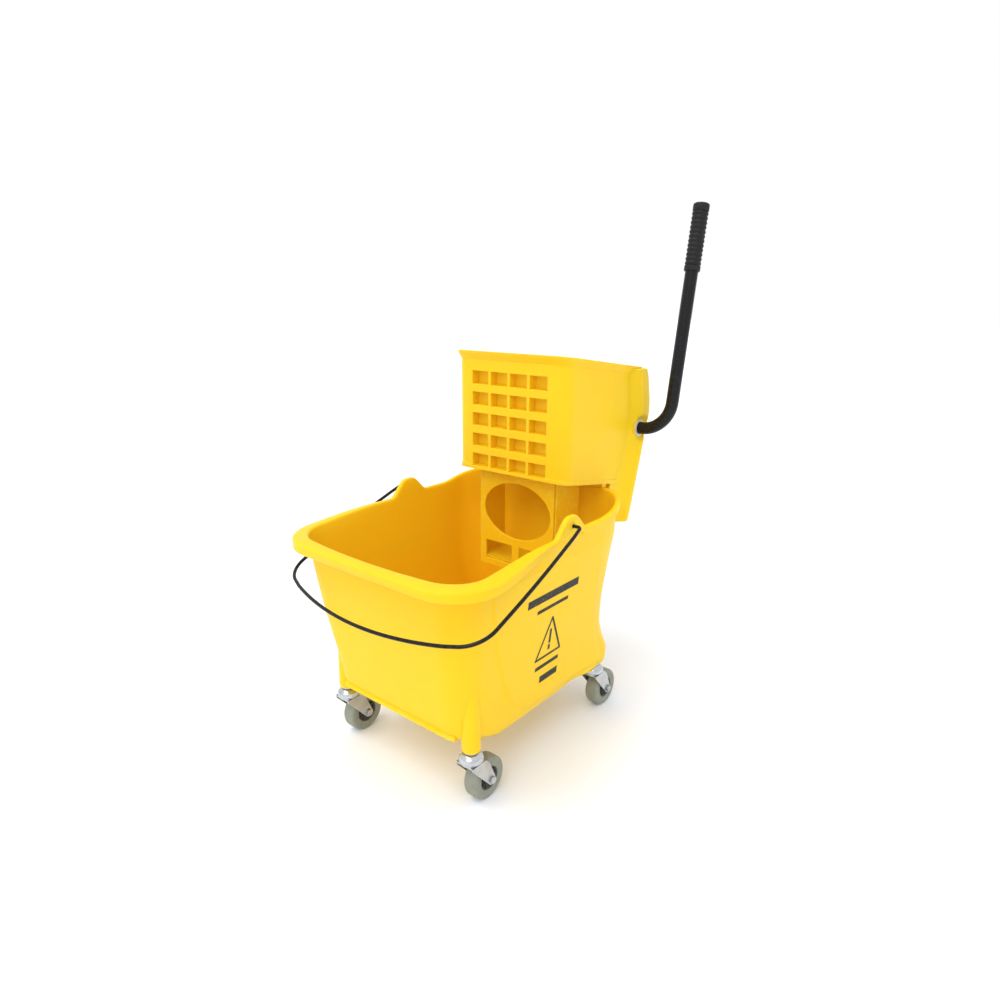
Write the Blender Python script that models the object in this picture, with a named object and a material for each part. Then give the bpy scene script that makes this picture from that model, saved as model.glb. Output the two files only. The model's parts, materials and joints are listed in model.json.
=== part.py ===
"""Mop bucket on four casters with a side-press wringer hooked over its rear wall.

Metres, +Z up. The model is built in a bucket frame: X = 0 is the middle of the bucket, Y = 0 is
midway between the front and rear casters, Z = 0 is the floor, and -Y is the open front. One root
empty carries everything and puts the world origin under the middle of the whole object.
"""
import math

import bmesh
import bpy
from mathutils import Matrix, Vector

# ---------------------------------------------------------------- driving dimensions
FRAME_Y = -0.0728           # bucket frame to world, along Y
GAP = 0.0003                # clearance between pieces that touch

WALL = 0.004                # bucket wall
RIM_Z = 0.424               # top of the pouring lip
LIP_WIDTH = 0.029           # how far the pouring lip stands out at the front
EAR_Y = 0.023
EAR_TOP = 0.470
EAR_HALF = 0.0475
EAR_FLAT = 0.006            # half length of the level top of an ear
BAIL_HOLE_Z = 0.452
FLOOR_Z = 0.118             # top of the bucket's floor
UNDERSIDE_Z = 0.1135        # underside of the floor, inside the skirt

LEG_X = 0.158
LEG_Y = 0.1895
LEG_RADIUS = 0.0165
LEG_BOTTOM = 0.107

BAIL_WIRE = 0.0031
BAIL_X = 0.231              # half width across the arms
BAIL_HOOK_X = 0.2205        # where the arms leave the ears
BAIL_REACH = 0.343
BAIL_CORNER = 0.056
BAIL_BOW = 0.585            # radius of the front bow
BAIL_DROOP = math.radians(22.0)

BASKET_X = 0.132            # outside half width of the basket
BASKET_FRONT = 0.0985
BASKET_WALL = 0.0035
BASKET_CORNER = 0.0265      # outside radius of the front corners
BASKET_TOP = 0.727
BASKET_BOTTOM = 0.498
TOP_SLOPE = 0.133           # the top edge falls towards the rear
BOTTOM_SLOPE = 0.169
POCKET_COLUMNS = 4
POCKET_ROWS = 5
POCKET_WIDTH = 0.0405
POCKET_HEIGHT = 0.0255
POCKET_PITCH_X = 0.0463
POCKET_PITCH_Z = 0.0408
POCKET_CENTRE_Z = 0.595
POCKET_DEPTH = 0.0195       # depth of the pockets in the front wall
POCKET_BACK = 0.003         # what is left behind them

SADDLE_Z = 0.4623           # the wringer rests on the bucket's rear rim here

HOOD_X = 0.150
HOOD_FRONT = 0.360
HOOD_WALL = 0.0035

SHAFT_Y = 0.355
SHAFT_Z = 0.569
TUBE_RADIUS = 0.0125
TUBE_WALL = 0.0018
LEVER_X = 0.207
LEVER_LEAN = math.radians(9.7)
LEVER_LENGTH = 0.438
LEVER_BEND = 0.058
GRIP_LENGTH = 0.122
GRIP_RADIUS = 0.0155
BOSS_X = 0.141              # outer face of the shaft bosses
BOSS_INNER_X = 0.119
BOSS_RADIUS = 0.0185

CRANK_RADIUS = 0.080
CRANK_REST = math.radians(95.0)     # from -Y, upwards
LINK_LENGTH = 0.100
CRANK_X = 0.083
LINK_X = 0.0762
CLEVIS_X = 0.0694
ARM_THICK = 0.006

PLATE_X = 0.120
PLATE_THICK = 0.012
PLATE_BOTTOM = 0.502
PLATE_TOP = 0.676

WHEEL_RADIUS = 0.0381
WHEEL_WIDTH = 0.028
TRAIL = 0.032
AXLE_RADIUS = 0.0039
FORK_X = 0.0165             # inside half width of the fork
FORK_THICK = 0.0025
FORK_TOP = 0.0865
CUP_RADIUS = 0.0215

SEGMENTS = 24

YELLOW = (0.92, 0.62, 0.02)
BLACK = (0.012, 0.012, 0.013)
GREY = (0.30, 0.31, 0.26)
STEEL = (0.72, 0.73, 0.74)
WHITE = (0.78, 0.77, 0.72)


# ---------------------------------------------------------------- scene and materials
def clear_scene():
    for item in list(bpy.data.objects):
        bpy.data.objects.remove(item, do_unlink=True)


def new_collection(name):
    group = bpy.data.collections.new(name)
    bpy.context.scene.collection.children.link(group)
    return group


def new_material(name, colour, roughness, metallic=0.0):
    material = bpy.data.materials.new(name)
    material.use_nodes = True
    shader = material.node_tree.nodes["Principled BSDF"]
    shader.inputs["Base Color"].default_value = (*colour, 1.0)
    shader.inputs["Roughness"].default_value = roughness
    shader.inputs["Metallic"].default_value = metallic
    material.diffuse_color = (*colour, 1.0)
    return material


clear_scene()
PARTS = new_collection("mop_bucket_with_wringer")
CUTTERS = new_collection("cutters")
PIVOTS = {}


def bucket_plastic():
    return new_material("bucket_plastic", YELLOW, 0.34)


def black_steel():
    return new_material("black_coated_steel", BLACK, 0.28, 0.3)


def zinc_steel():
    return new_material("zinc_plated_steel", STEEL, 0.25, 1.0)


def grey_tread():
    return new_material("grey_rubber_tread", GREY, 0.55)


def dark_hub():
    return new_material("dark_hub_plastic", (0.05, 0.05, 0.045), 0.5)


def black_rubber():
    return new_material("black_grip_rubber", BLACK, 0.6)


def nylon():
    return new_material("nylon", WHITE, 0.4)


# ---------------------------------------------------------------- pivots and placing
def add_pivot(name, point, parent=None):
    """An empty on a joint axis, at a point of the bucket frame."""
    empty = bpy.data.objects.new(name, None)
    empty.empty_display_size = 0.03
    PARTS.objects.link(empty)
    empty.location = point
    PIVOTS[name] = Vector(point)
    if parent:
        hang(empty, parent)
    return empty


def hang(item, pivot):
    """Parent an item to a pivot without moving it in the bucket frame."""
    item.parent = bpy.data.objects[pivot]
    item.matrix_parent_inverse = Matrix.Translation(-PIVOTS[pivot])
    return item


def finish_part(item, material, pivot):
    item.data.materials.clear()
    item.data.materials.append(material)
    return hang(item, pivot)


def make_cutter(item):
    """Move an item to the cutters, where it shows as wire only."""
    for group in list(item.users_collection):
        group.objects.unlink(item)
    CUTTERS.objects.link(item)
    item.hide_render = True
    item.display_type = "WIRE"
    return hang(item, "bucket_frame")


def boolean(item, cutter, operation):
    make_cutter(cutter)
    modifier = item.modifiers.new(operation.lower(), "BOOLEAN")
    modifier.operation = operation
    modifier.solver = "EXACT"
    modifier.object = cutter


def cut(item, *cutters):
    for cutter in cutters:
        boolean(item, cutter, "DIFFERENCE")


def join(item, *others):
    for other in others:
        boolean(item, other, "UNION")


# ---------------------------------------------------------------- shape makers
def object_from_bmesh(name, shape, smooth_angle=None):
    bmesh.ops.recalc_face_normals(shape, faces=shape.faces)
    mesh = bpy.data.meshes.new(name)
    shape.to_mesh(mesh)
    shape.free()
    if smooth_angle:
        mesh.shade_smooth()
        mesh.set_sharp_from_angle(angle=math.radians(smooth_angle))
    item = bpy.data.objects.new(name, mesh)
    PARTS.objects.link(item)
    return item


def box(name, low, high, bevel=0.0):
    """A box between two corners, with its edges rounded when a bevel is given."""
    shape = bmesh.new()
    size = [b - a for a, b in zip(low, high)]
    centre = [(a + b) / 2 for a, b in zip(low, high)]
    bmesh.ops.create_cube(shape, size=1.0)
    bmesh.ops.scale(shape, vec=size, verts=shape.verts)
    bmesh.ops.translate(shape, vec=centre, verts=shape.verts)
    if bevel:
        bmesh.ops.bevel(shape, geom=shape.edges[:], offset=bevel, segments=2, affect="EDGES")
    return object_from_bmesh(name, shape)


AXIS_TURN = {
    "X": Matrix.Rotation(math.radians(90), 4, "Y"),
    "Y": Matrix.Rotation(math.radians(-90), 4, "X"),
    "Z": Matrix.Identity(4),
}


def cylinder(name, centre, radius, length, axis="Z", segments=SEGMENTS, top_radius=None):
    """A cylinder, or a cone when a top radius is given, along one of the frame's axes."""
    shape = bmesh.new()
    bmesh.ops.create_cone(
        shape, cap_ends=True, segments=segments, radius1=radius,
        radius2=radius if top_radius is None else top_radius, depth=length,
    )
    bmesh.ops.transform(shape, matrix=Matrix.Translation(centre) @ AXIS_TURN[axis], verts=shape.verts)
    return object_from_bmesh(name, shape, 35)


def turned(name, profile, centre, axis="Z", segments=SEGMENTS):
    """A closed (radius, height) profile turned about an axis through the centre."""
    shape = bmesh.new()
    corners = [shape.verts.new((radius, 0.0, height)) for radius, height in profile]
    edges = [shape.edges.new((a, b)) for a, b in zip(corners, corners[1:])]
    if profile[0][0] > 0.0:
        edges.append(shape.edges.new((corners[-1], corners[0])))
    bmesh.ops.spin(
        shape, geom=corners + edges, axis=(0, 0, 1), cent=(0, 0, 0),
        angle=2 * math.pi, steps=segments, use_merge=True,
    )
    bmesh.ops.remove_doubles(shape, verts=shape.verts, dist=0.00001)
    bmesh.ops.transform(shape, matrix=Matrix.Translation(centre) @ AXIS_TURN[axis], verts=shape.verts)
    return object_from_bmesh(name, shape, 35)


def side_outline(name, points, x_low, x_high, bevel=0.0):
    """A (y, z) outline extruded along X."""
    shape = bmesh.new()
    corners = [shape.verts.new((x_low, y, z)) for y, z in points]
    face = shape.faces.new(corners)
    grown = bmesh.ops.extrude_face_region(shape, geom=[face])
    moved = [g for g in grown["geom"] if isinstance(g, bmesh.types.BMVert)]
    bmesh.ops.translate(shape, vec=(x_high - x_low, 0, 0), verts=moved)
    if bevel:
        bmesh.ops.bevel(shape, geom=shape.edges[:], offset=bevel, segments=2, affect="EDGES",
                        clamp_overlap=True)
    return object_from_bmesh(name, shape)


def rod(name, points, radius, sides=2):
    """A round bar along a list of points."""
    curve = bpy.data.curves.new(name, "CURVE")
    curve.dimensions = "3D"
    curve.bevel_depth = radius
    curve.bevel_resolution = sides
    curve.use_fill_caps = True
    spline = curve.splines.new("POLY")
    spline.points.add(len(points) - 1)
    for slot, point in zip(spline.points, points):
        slot.co = (*point, 1.0)
    item = bpy.data.objects.new(name, curve)
    PARTS.objects.link(item)
    return item


def bent_tube(name, path, normal, radius, wall, sides=16):
    """A tube with open ends; its path lies in the plane with this normal."""
    shape = bmesh.new()
    last = len(path) - 1
    outside = [(i, radius) for i in range(last + 1)]
    inside = [(i, radius - wall) for i in range(last, -1, -1)]
    rings = []
    for i, reach in outside + inside:
        along = (path[min(i + 1, last)] - path[max(i - 1, 0)]).normalized()
        across = normal.cross(along)
        turn = [2 * math.pi * k / sides for k in range(sides)]
        rings.append([shape.verts.new(path[i] + reach * (math.cos(t) * across + math.sin(t) * normal))
                      for t in turn])
    for low, high in zip(rings, rings[1:] + rings[:1]):
        for k in range(sides):
            shape.faces.new((low[k], low[(k + 1) % sides], high[(k + 1) % sides], high[k]))
    return object_from_bmesh(name, shape, 35)


def arc(centre, u, v, radius, start, end, steps):
    """Points on a circle's arc; u and v are its two directions and the angles are in degrees."""
    centre, u, v = Vector(centre), Vector(u), Vector(v)
    turn = [math.radians(start + (end - start) * i / steps) for i in range(steps + 1)]
    return [centre + radius * (math.cos(t) * u + math.sin(t) * v) for t in turn]


def loft(name, rings):
    """A closed solid through rings of equal length, capped at both ends."""
    shape = bmesh.new()
    layers = [[shape.verts.new(point) for point in ring] for ring in rings]
    count = len(layers[0])
    for low, high in zip(layers, layers[1:]):
        for i in range(count):
            j = (i + 1) % count
            shape.faces.new((low[i], low[j], high[j], high[i]))
    shape.faces.new(layers[0][::-1])
    shape.faces.new(layers[-1])
    return object_from_bmesh(name, shape, 50)


# ---------------------------------------------------------------- bucket
def smooth_step(value, low, high):
    t = min(max((value - low) / (high - low), 0.0), 1.0)
    return t * t * (3 - 2 * t)


# Outer wall sections: height, half width, front, rear, front corner, rear corner radius.
WALL_SECTIONS = (
    (0.0930, 0.148, -0.146, 0.214, 0.045, 0.030),
    (0.0965, 0.1565, -0.153, 0.228, 0.045, 0.030),
    (0.1060, 0.162, -0.168, 0.237, 0.045, 0.030),
    (0.1280, 0.166, -0.2090, 0.240, 0.045, 0.030),
    (0.1600, 0.169, -0.2165, 0.230, 0.050, 0.040),
    (0.2070, 0.1745, -0.2245, 0.217, 0.050, 0.055),
    (0.2780, 0.183, -0.2375, 0.225, 0.052, 0.075),
    (0.3400, 0.190, -0.2470, 0.235, 0.054, 0.082),
    (0.3940, 0.1965, -0.2535, 0.245, 0.056, 0.088),
)
CAVITY_HEIGHTS = (0.380, 0.340, 0.278, 0.207, 0.160, 0.128)
EAR_STOPS = (-1.0, -0.72, -0.46, -0.22, 0.0, 0.22, 0.46, 0.72, 1.0)
CORNER_STEPS = 5
FRONT_STEPS = 8
REAR_STEPS = 4


def section_at(height):
    """The outer wall's section at a height, between the listed ones."""
    for low, high in zip(WALL_SECTIONS, WALL_SECTIONS[1:]):
        if height <= high[0]:
            t = (height - low[0]) / (high[0] - low[0])
            return tuple(a + (b - a) * t for a, b in zip(low, high))
    return WALL_SECTIONS[-1]


def side_stops(start, end):
    """Points along a side wall, close together where the ear rises."""
    ear = [EAR_Y + EAR_HALF * s for s in EAR_STOPS]
    before = [start + (ear[0] - start) * i / 3 for i in range(1, 3)]
    after = [ear[-1] + (end - ear[-1]) / 2]
    return before + ear + after


def outline(half, front, rear, front_radius, rear_radius, bow=0.0):
    """A rounded rectangle as (x, y, nx, ny), with its front edge bowed outwards in the middle."""
    points = []
    flat = half - front_radius
    for i in range(FRONT_STEPS + 1):
        x = -flat + 2 * flat * i / FRONT_STEPS
        points.append((x, front - bow * (1 - (x / flat) ** 2), 0.0, -1.0))

    def corner(cx, cy, radius, start):
        for i in range(1, CORNER_STEPS + 1):
            t = math.radians(start + 90 * i / CORNER_STEPS)
            points.append((cx + radius * math.cos(t), cy + radius * math.sin(t), math.cos(t), math.sin(t)))

    stops = side_stops(front + front_radius, rear - rear_radius)
    corner(flat, front + front_radius, front_radius, -90)
    points.extend((half, y, 1.0, 0.0) for y in stops)
    points.append((half, rear - rear_radius, 1.0, 0.0))
    corner(half - rear_radius, rear - rear_radius, rear_radius, 0)
    for i in range(1, REAR_STEPS + 1):
        x = (half - rear_radius) * (1 - 2 * i / REAR_STEPS)
        points.append((x, rear, 0.0, 1.0))
    corner(rear_radius - half, rear - rear_radius, rear_radius, 90)
    points.extend((-half, y, -1.0, 0.0) for y in reversed(stops))
    points.append((-half, front + front_radius, -1.0, 0.0))
    corner(-flat, front + front_radius, front_radius, 180)
    return points[:-1]


def wall_ring(height, inset=0.0, raise_rear=0.0):
    """One level ring of the wall; the underside's rear end is raised over the casters."""
    _, half, front, rear, front_radius, rear_radius = section_at(height)
    plan = outline(half - inset, front + inset, rear - inset,
                   front_radius - inset, max(rear_radius - inset, 0.02))
    return [(x, y, height + raise_rear * smooth_step(y, 0.06, 0.17)) for x, y, _, _ in plan]


def rim_height(y):
    """Height of the rim along the bucket: low at the lip, an ear each side, higher at the rear."""
    base = RIM_Z + 0.012 * smooth_step(y, -0.25, -0.06) + 0.004 * smooth_step(y, -0.04, 0.08)
    base += 0.022 * smooth_step(y, 0.12, 0.24)
    return base + (EAR_TOP - base) * ear_weight(y) ** 0.8


def ear_weight(y):
    """1 on the ear's level top, falling smoothly to 0 at its two ends."""
    reach = max(abs(y - EAR_Y) - EAR_FLAT, 0.0) / (EAR_HALF - EAR_FLAT)
    return 0.5 + 0.5 * math.cos(math.pi * min(reach, 1.0))


def rim_ring(outward, drop, front_only=0.0):
    """A ring of the rim; outward and drop are (front, side) pairs, measured from the wall."""
    _, half, front, rear, front_radius, rear_radius = WALL_SECTIONS[-1]
    points = []
    for x, y, nx, ny in outline(half, front, rear, front_radius, rear_radius):
        lip = 1.0 - smooth_step(y, -0.20, 0.0)
        crown = front_only * lip * max(0.0, 1.0 - (x / 0.17) ** 2)
        out = outward[1] + (outward[0] - outward[1]) * lip + crown
        height = rim_height(y) - (drop[1] + (drop[0] - drop[1]) * lip)
        points.append((x + nx * out, y + ny * out, height))
    return points


def skirt_ring(outward, drop):
    """A ring of the lip's underside, which stays level where the ears rise."""
    ring = rim_ring(outward, drop)
    return [(x, y, z - (rim_height(y) - RIM_Z - 0.014) * ear_weight(y)) for x, y, z in ring]


def bucket_shell():
    skirt = WALL_SECTIONS[0][0]
    rings = [[(x, y, UNDERSIDE_Z) for x, y, _ in wall_ring(skirt, 0.007)], wall_ring(skirt, 0.005, 0.010)]
    rings.extend(wall_ring(section[0], raise_rear=0.010 if section[0] < 0.12 else 0.0)
                 for section in WALL_SECTIONS)
    rings.append(skirt_ring((0.003, 0.001), (0.0235, 0.0150)))
    rings.append(skirt_ring((LIP_WIDTH - 0.003, 0.006), (0.0225, 0.0145)))
    rings.append(skirt_ring((LIP_WIDTH, 0.0075), (0.0195, 0.0120)))
    rings.append(rim_ring((LIP_WIDTH, 0.0075), (0.0075, 0.0035), 0.005))
    rings.append(rim_ring((LIP_WIDTH - 0.004, 0.0055), (0.0035, 0.0008), 0.006))
    rings.append(rim_ring((0.004, 0.0005), (0.0, 0.0), 0.013))
    rings.append(rim_ring((0.001, -0.0025), (0.004, 0.004), 0.012))
    rings.append(rim_ring((-0.003, -WALL), (0.020, 0.020), 0.004))
    rings.extend(wall_ring(height, WALL) for height in CAVITY_HEIGHTS)
    rings.append(floor_edge(WALL + 0.002))
    floor = wall_ring(0.128, WALL + 0.012)
    rings.append([(x * 0.93, y * 0.88, FLOOR_Z) for x, y, _ in floor])
    return loft("bucket_body", rings)


def floor_edge(inset):
    """The ring where the wall's inside turns into the floor."""
    return [(x, y, FLOOR_Z + 0.006) for x, y, _ in wall_ring(0.1200, inset)]


def cavity_solid():
    """The space inside the wall, which trims what the legs leave there."""
    shrink = WALL + 0.0002
    rings = [wall_ring(height, shrink) for height in CAVITY_HEIGHTS[2:]]
    rings.append([(x, y, z + 0.0002) for x, y, z in floor_edge(shrink + 0.002)])
    return loft("leg_trim", rings)


def caster_places():
    for side, x in (("left", -LEG_X), ("right", LEG_X)):
        for end, y in (("front", -LEG_Y), ("rear", LEG_Y)):
            yield f"{end}_{side}", x, y


def build_bucket(material):
    bucket = bucket_shell()
    for name, x, y in caster_places():
        top, slimming = (0.250, 0.85) if y < 0 else (0.200, 0.30)
        leg = cylinder(f"leg_{name}", (x, y, (LEG_BOTTOM + top) / 2), LEG_RADIUS, top - LEG_BOTTOM,
                       top_radius=LEG_RADIUS * slimming)
        join(bucket, leg)
    join(bucket, box("front_skirt", (-0.140, -0.2135, 0.121), (0.140, -0.1980, 0.131), 0.0015))
    cut(bucket, cavity_solid())
    for name, x, y in caster_places():
        cut(bucket, cylinder(f"cup_pocket_{name}", (x, y, LEG_BOTTOM - 0.015), CUP_RADIUS + 0.003, 0.030))
        cut(bucket, cylinder(f"socket_bore_{name}", (x, y, LEG_BOTTOM + 0.010), 0.0083, 0.060,
                             segments=16))
    for side in (-1, 1):
        cut(bucket, cylinder(f"bail_hole_{side + 1}", (side * 0.200, EAR_Y, BAIL_HOLE_Z), 0.0045, 0.040,
                             axis="X", segments=12))
    return finish_part(bucket, material, "bucket_frame")


def build_bail(material):
    """The wire bail: hooked ends through the ears, straight arms, rounded front bow."""
    down = Vector((0.0, -math.cos(BAIL_DROOP), -math.sin(BAIL_DROOP)))
    side = Vector((1.0, 0.0, 0.0))
    pivot = Vector((0.0, EAR_Y, BAIL_HOLE_Z))
    bend = 0.007
    half = [pivot + side * 0.1925, pivot + side * (BAIL_HOOK_X - bend)]
    half += arc(pivot + side * (BAIL_HOOK_X - bend) + down * bend, side, down, bend, -90, 0, 3)[1:]
    half += [pivot + side * (BAIL_HOOK_X + flare) + down * reach
             for reach, flare in ((0.06, 0.0045), (0.12, 0.0080), (0.19, 0.0102))]
    half += arc(pivot + side * (BAIL_X - BAIL_CORNER) + down * 0.256, side, down, BAIL_CORNER, 0, 66, 5)
    half += arc(pivot + down * (BAIL_REACH - BAIL_BOW), down, side, BAIL_BOW, 17.5, 4.4, 3)
    mirrored = [Vector((-p.x, p.y, p.z)) for p in half]
    bail = rod("bail_wire", half + [pivot + down * BAIL_REACH] + mirrored[::-1], BAIL_WIRE)
    return finish_part(bail, material, "bail_axis")


# ---------------------------------------------------------------- casters
def fork_side(name, x):
    """One cheek of a fork: wide at the top, rounded round the axle."""
    axle_z = WHEEL_RADIUS
    top = FORK_TOP - 0.0016
    points = [(-0.0165, top), (-0.0165, top - 0.006)]
    tip = arc((0, TRAIL, axle_z), (0, 1, 0), (0, 0, 1), 0.0095, 205, 360, 6)
    points += [(p.y, p.z) for p in tip]
    points += [(0.0260, top - 0.010), (0.0165, top)]
    return side_outline(name, points, x - FORK_THICK / 2, x + FORK_THICK / 2)


def build_caster(place, x, y, looks):
    """One caster: socket sleeve, stem with raceway cup, fork, wheel, axle bolt and nut."""
    swivel = add_pivot(f"swivel_{place}", (x, y, FORK_TOP), "bucket_frame").name
    spin = add_pivot(f"spin_{place}", (x, y + TRAIL, WHEEL_RADIUS), swivel).name
    socket = turned(
        f"caster_socket_{place}",
        [(0.0062, 0.040), (0.0080, 0.040), (0.0080, -GAP), (0.0130, -GAP), (0.0130, -0.0030),
         (0.0062, -0.0030)],
        (x, y, LEG_BOTTOM), segments=16,
    )
    cup = turned(
        f"stem_cup_{place}",
        [(0.0, 0.0525), (0.0045, 0.0525), (0.0058, 0.0505), (0.0058, 0.0170), (0.0100, 0.0165),
         (0.0150, 0.0145), (0.0195, 0.0100), (CUP_RADIUS, 0.0045), (CUP_RADIUS, 0.0010),
         (0.0190, 0.0005), (0.0, 0.0005)],
        (x, y, FORK_TOP), segments=20,
    )
    fork = turned(
        f"fork_{place}",
        [(0.0, 0.0), (0.0170, 0.0), (0.0182, -0.0012), (0.0182, -0.0044), (0.0, -0.0044)],
        (x, y, FORK_TOP), segments=20,
    )
    yoke = box(f"yoke_{place}", (-FORK_X - 0.0015, -0.0155, FORK_TOP - 0.0058),
               (FORK_X + 0.0015, 0.0155, FORK_TOP - 0.0025))
    yoke.location = (x, y, 0)
    join(fork, yoke)
    for side in (-1, 1):
        cheek = fork_side(f"cheek_{place}_{side + 1}", side * (FORK_X + FORK_THICK / 2))
        cheek.location = (x, y, 0)
        join(fork, cheek)
    cut(fork, cylinder(f"axle_bore_{place}", (x, y + TRAIL, WHEEL_RADIUS), AXLE_RADIUS + GAP, 0.06,
                       axis="X", segments=12))
    half = WHEEL_WIDTH / 2
    tread = turned(
        f"wheel_tread_{place}",
        [(WHEEL_RADIUS - 0.0035, half), (WHEEL_RADIUS, half - 0.0040), (WHEEL_RADIUS, 0.0040 - half),
         (WHEEL_RADIUS - 0.0035, -half), (0.0215, -half), (0.0215, half)],
        (x, y + TRAIL, WHEEL_RADIUS), axis="X",
    )
    hub = turned(
        f"wheel_hub_{place}",
        [(0.0043, 0.0158), (0.0085, 0.0158), (0.0095, 0.0090), (0.0185, 0.0085), (0.0212, half - 0.0010),
         (0.0212, 0.0010 - half), (0.0185, -0.0085), (0.0095, -0.0090), (0.0085, -0.0158),
         (0.0043, -0.0158)],
        (x, y + TRAIL, WHEEL_RADIUS), axis="X", segments=20,
    )
    outer = FORK_X + FORK_THICK
    bolt = cylinder(f"axle_bolt_{place}", (x - 0.0015, y + TRAIL, WHEEL_RADIUS), AXLE_RADIUS,
                    2 * outer + 0.011, axis="X", segments=12)
    head = cylinder(f"bolt_head_{place}", (x + outer + GAP + 0.002, y + TRAIL, WHEEL_RADIUS), 0.0070,
                    0.004, axis="X", segments=6)
    join(bolt, head)
    nut = cylinder(f"axle_nut_{place}", (x - outer - GAP - 0.0022, y + TRAIL, WHEEL_RADIUS), 0.0072,
                   0.0044, axis="X", segments=6)
    cut(nut, cylinder(f"nut_bore_{place}", (x - outer, y + TRAIL, WHEEL_RADIUS), AXLE_RADIUS + GAP,
                      0.02, axis="X", segments=12))
    finish_part(socket, looks["nylon"], "bucket_frame")
    finish_part(cup, looks["zinc"], "bucket_frame")
    for item in (fork, bolt, nut):
        finish_part(item, looks["zinc"], swivel)
    finish_part(tread, looks["tread"], spin)
    finish_part(hub, looks["hub"], spin)


# ---------------------------------------------------------------- wringer housing
def basket_top(y):
    return BASKET_TOP - TOP_SLOPE * (y - BASKET_FRONT)


def basket_bottom(y):
    return BASKET_BOTTOM - BOTTOM_SLOPE * (y - BASKET_FRONT)


def plan_ring(grow, front_grow, rear, z_of_y, steps=7):
    """A basket outline grown sideways and forwards: rounded front corners, square open rear."""
    half, front, radius = BASKET_X + grow, BASKET_FRONT - front_grow, BASKET_CORNER + front_grow
    points = [(-half, rear)]
    points += [(p.x, p.y) for p in arc((radius - half, front + radius, 0), (1, 0, 0), (0, 1, 0),
                                       radius, 180, 270, steps)]
    points += [(p.x, p.y) for p in arc((half - radius, front + radius, 0), (1, 0, 0), (0, 1, 0),
                                       radius, 270, 360, steps)]
    points += [(half, rear)]
    return [(x, y, z_of_y(y)) for x, y in points]


def build_housing(material):
    """Basket walls: pocketed front, plain sides, a lip along the top and a bead below."""
    rear = HOOD_FRONT - GAP
    housing = loft("wringer_housing", [
        plan_ring(0.0, 0.0, rear, basket_bottom),
        plan_ring(0.0, 0.0, rear, lambda y: basket_top(y) - 0.016),
        plan_ring(0.006, 0.006, rear, lambda y: basket_top(y) - 0.006),
        plan_ring(0.0075, 0.0075, rear, basket_top),
    ])
    bead = loft("basket_bead", [
        plan_ring(0.002, 0.003, 0.290, lambda y: basket_bottom(y) - 0.004),
        plan_ring(0.002, 0.003, 0.290, lambda y: basket_bottom(y) + 0.004),
    ])
    join(housing, bead)
    wall = -BASKET_WALL
    cut(housing, loft("basket_space", [
        plan_ring(wall, wall, rear + 0.05, lambda y: basket_bottom(y) - 0.03),
        plan_ring(wall, wall, rear + 0.05, lambda y: basket_top(y) - 0.014),
        plan_ring(wall + 0.0045, wall + 0.0045, rear + 0.05, lambda y: basket_top(y) - 0.005),
        plan_ring(wall + 0.0060, wall + 0.0060, rear + 0.05, lambda y: basket_top(y) + 0.02),
    ]))
    join(housing, box("pocket_block", (-0.0935, BASKET_FRONT + 0.001, 0.4975),
                      (0.0935, BASKET_FRONT + POCKET_DEPTH + POCKET_BACK, 0.6975)))
    for column in range(POCKET_COLUMNS):
        for row in range(POCKET_ROWS):
            x = (column - (POCKET_COLUMNS - 1) / 2) * POCKET_PITCH_X
            z = POCKET_CENTRE_Z + (row - (POCKET_ROWS - 1) / 2) * POCKET_PITCH_Z
            cut(housing, box(f"pocket_{column}_{row}",
                             (x - POCKET_WIDTH / 2, BASKET_FRONT - 0.01, z - POCKET_HEIGHT / 2),
                             (x + POCKET_WIDTH / 2, BASKET_FRONT + POCKET_DEPTH, z + POCKET_HEIGHT / 2)))
    for side in (-1, 1):
        middle = side * (BOSS_INNER_X + BOSS_X) / 2
        join(housing, cylinder(f"shaft_boss_{side + 1}", (middle, SHAFT_Y, SHAFT_Z), BOSS_RADIUS,
                               BOSS_X - BOSS_INNER_X, axis="X"))
        join(housing, box(f"plate_rail_{side + 1}",
                          (min(side * 0.125, side * 0.130), 0.125, 0.592),
                          (max(side * 0.125, side * 0.130), 0.335, 0.600)))
    join(housing, box("saddle_bar", (-0.1305, 0.2385, SADDLE_Z), (0.1305, 0.2520, SADDLE_Z + 0.011)))
    cut(housing, cylinder("shaft_bore", (0, SHAFT_Y, SHAFT_Z), 0.0155, 0.40, axis="X"))
    behind = [(0.3155, 0.340), (0.3295, 0.416), (0.366, 0.5405), (0.40, 0.5405), (0.40, 0.340)]
    cut(housing, side_outline("hood_clearance", behind, -0.137, 0.137))
    return finish_part(housing, material, "wringer_lift")


HOOD_SIDE = (
    (0.360, 0.690), (0.360, 0.560), (0.356, 0.530), (0.343, 0.503), (0.318, 0.477), (0.290, 0.452),
    (0.270, 0.425), (0.264, 0.382), (0.322, 0.379), (0.334, 0.415), (0.3875, 0.600), (0.386, 0.625),
    (0.374, 0.676), (0.368, 0.686),
)


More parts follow.
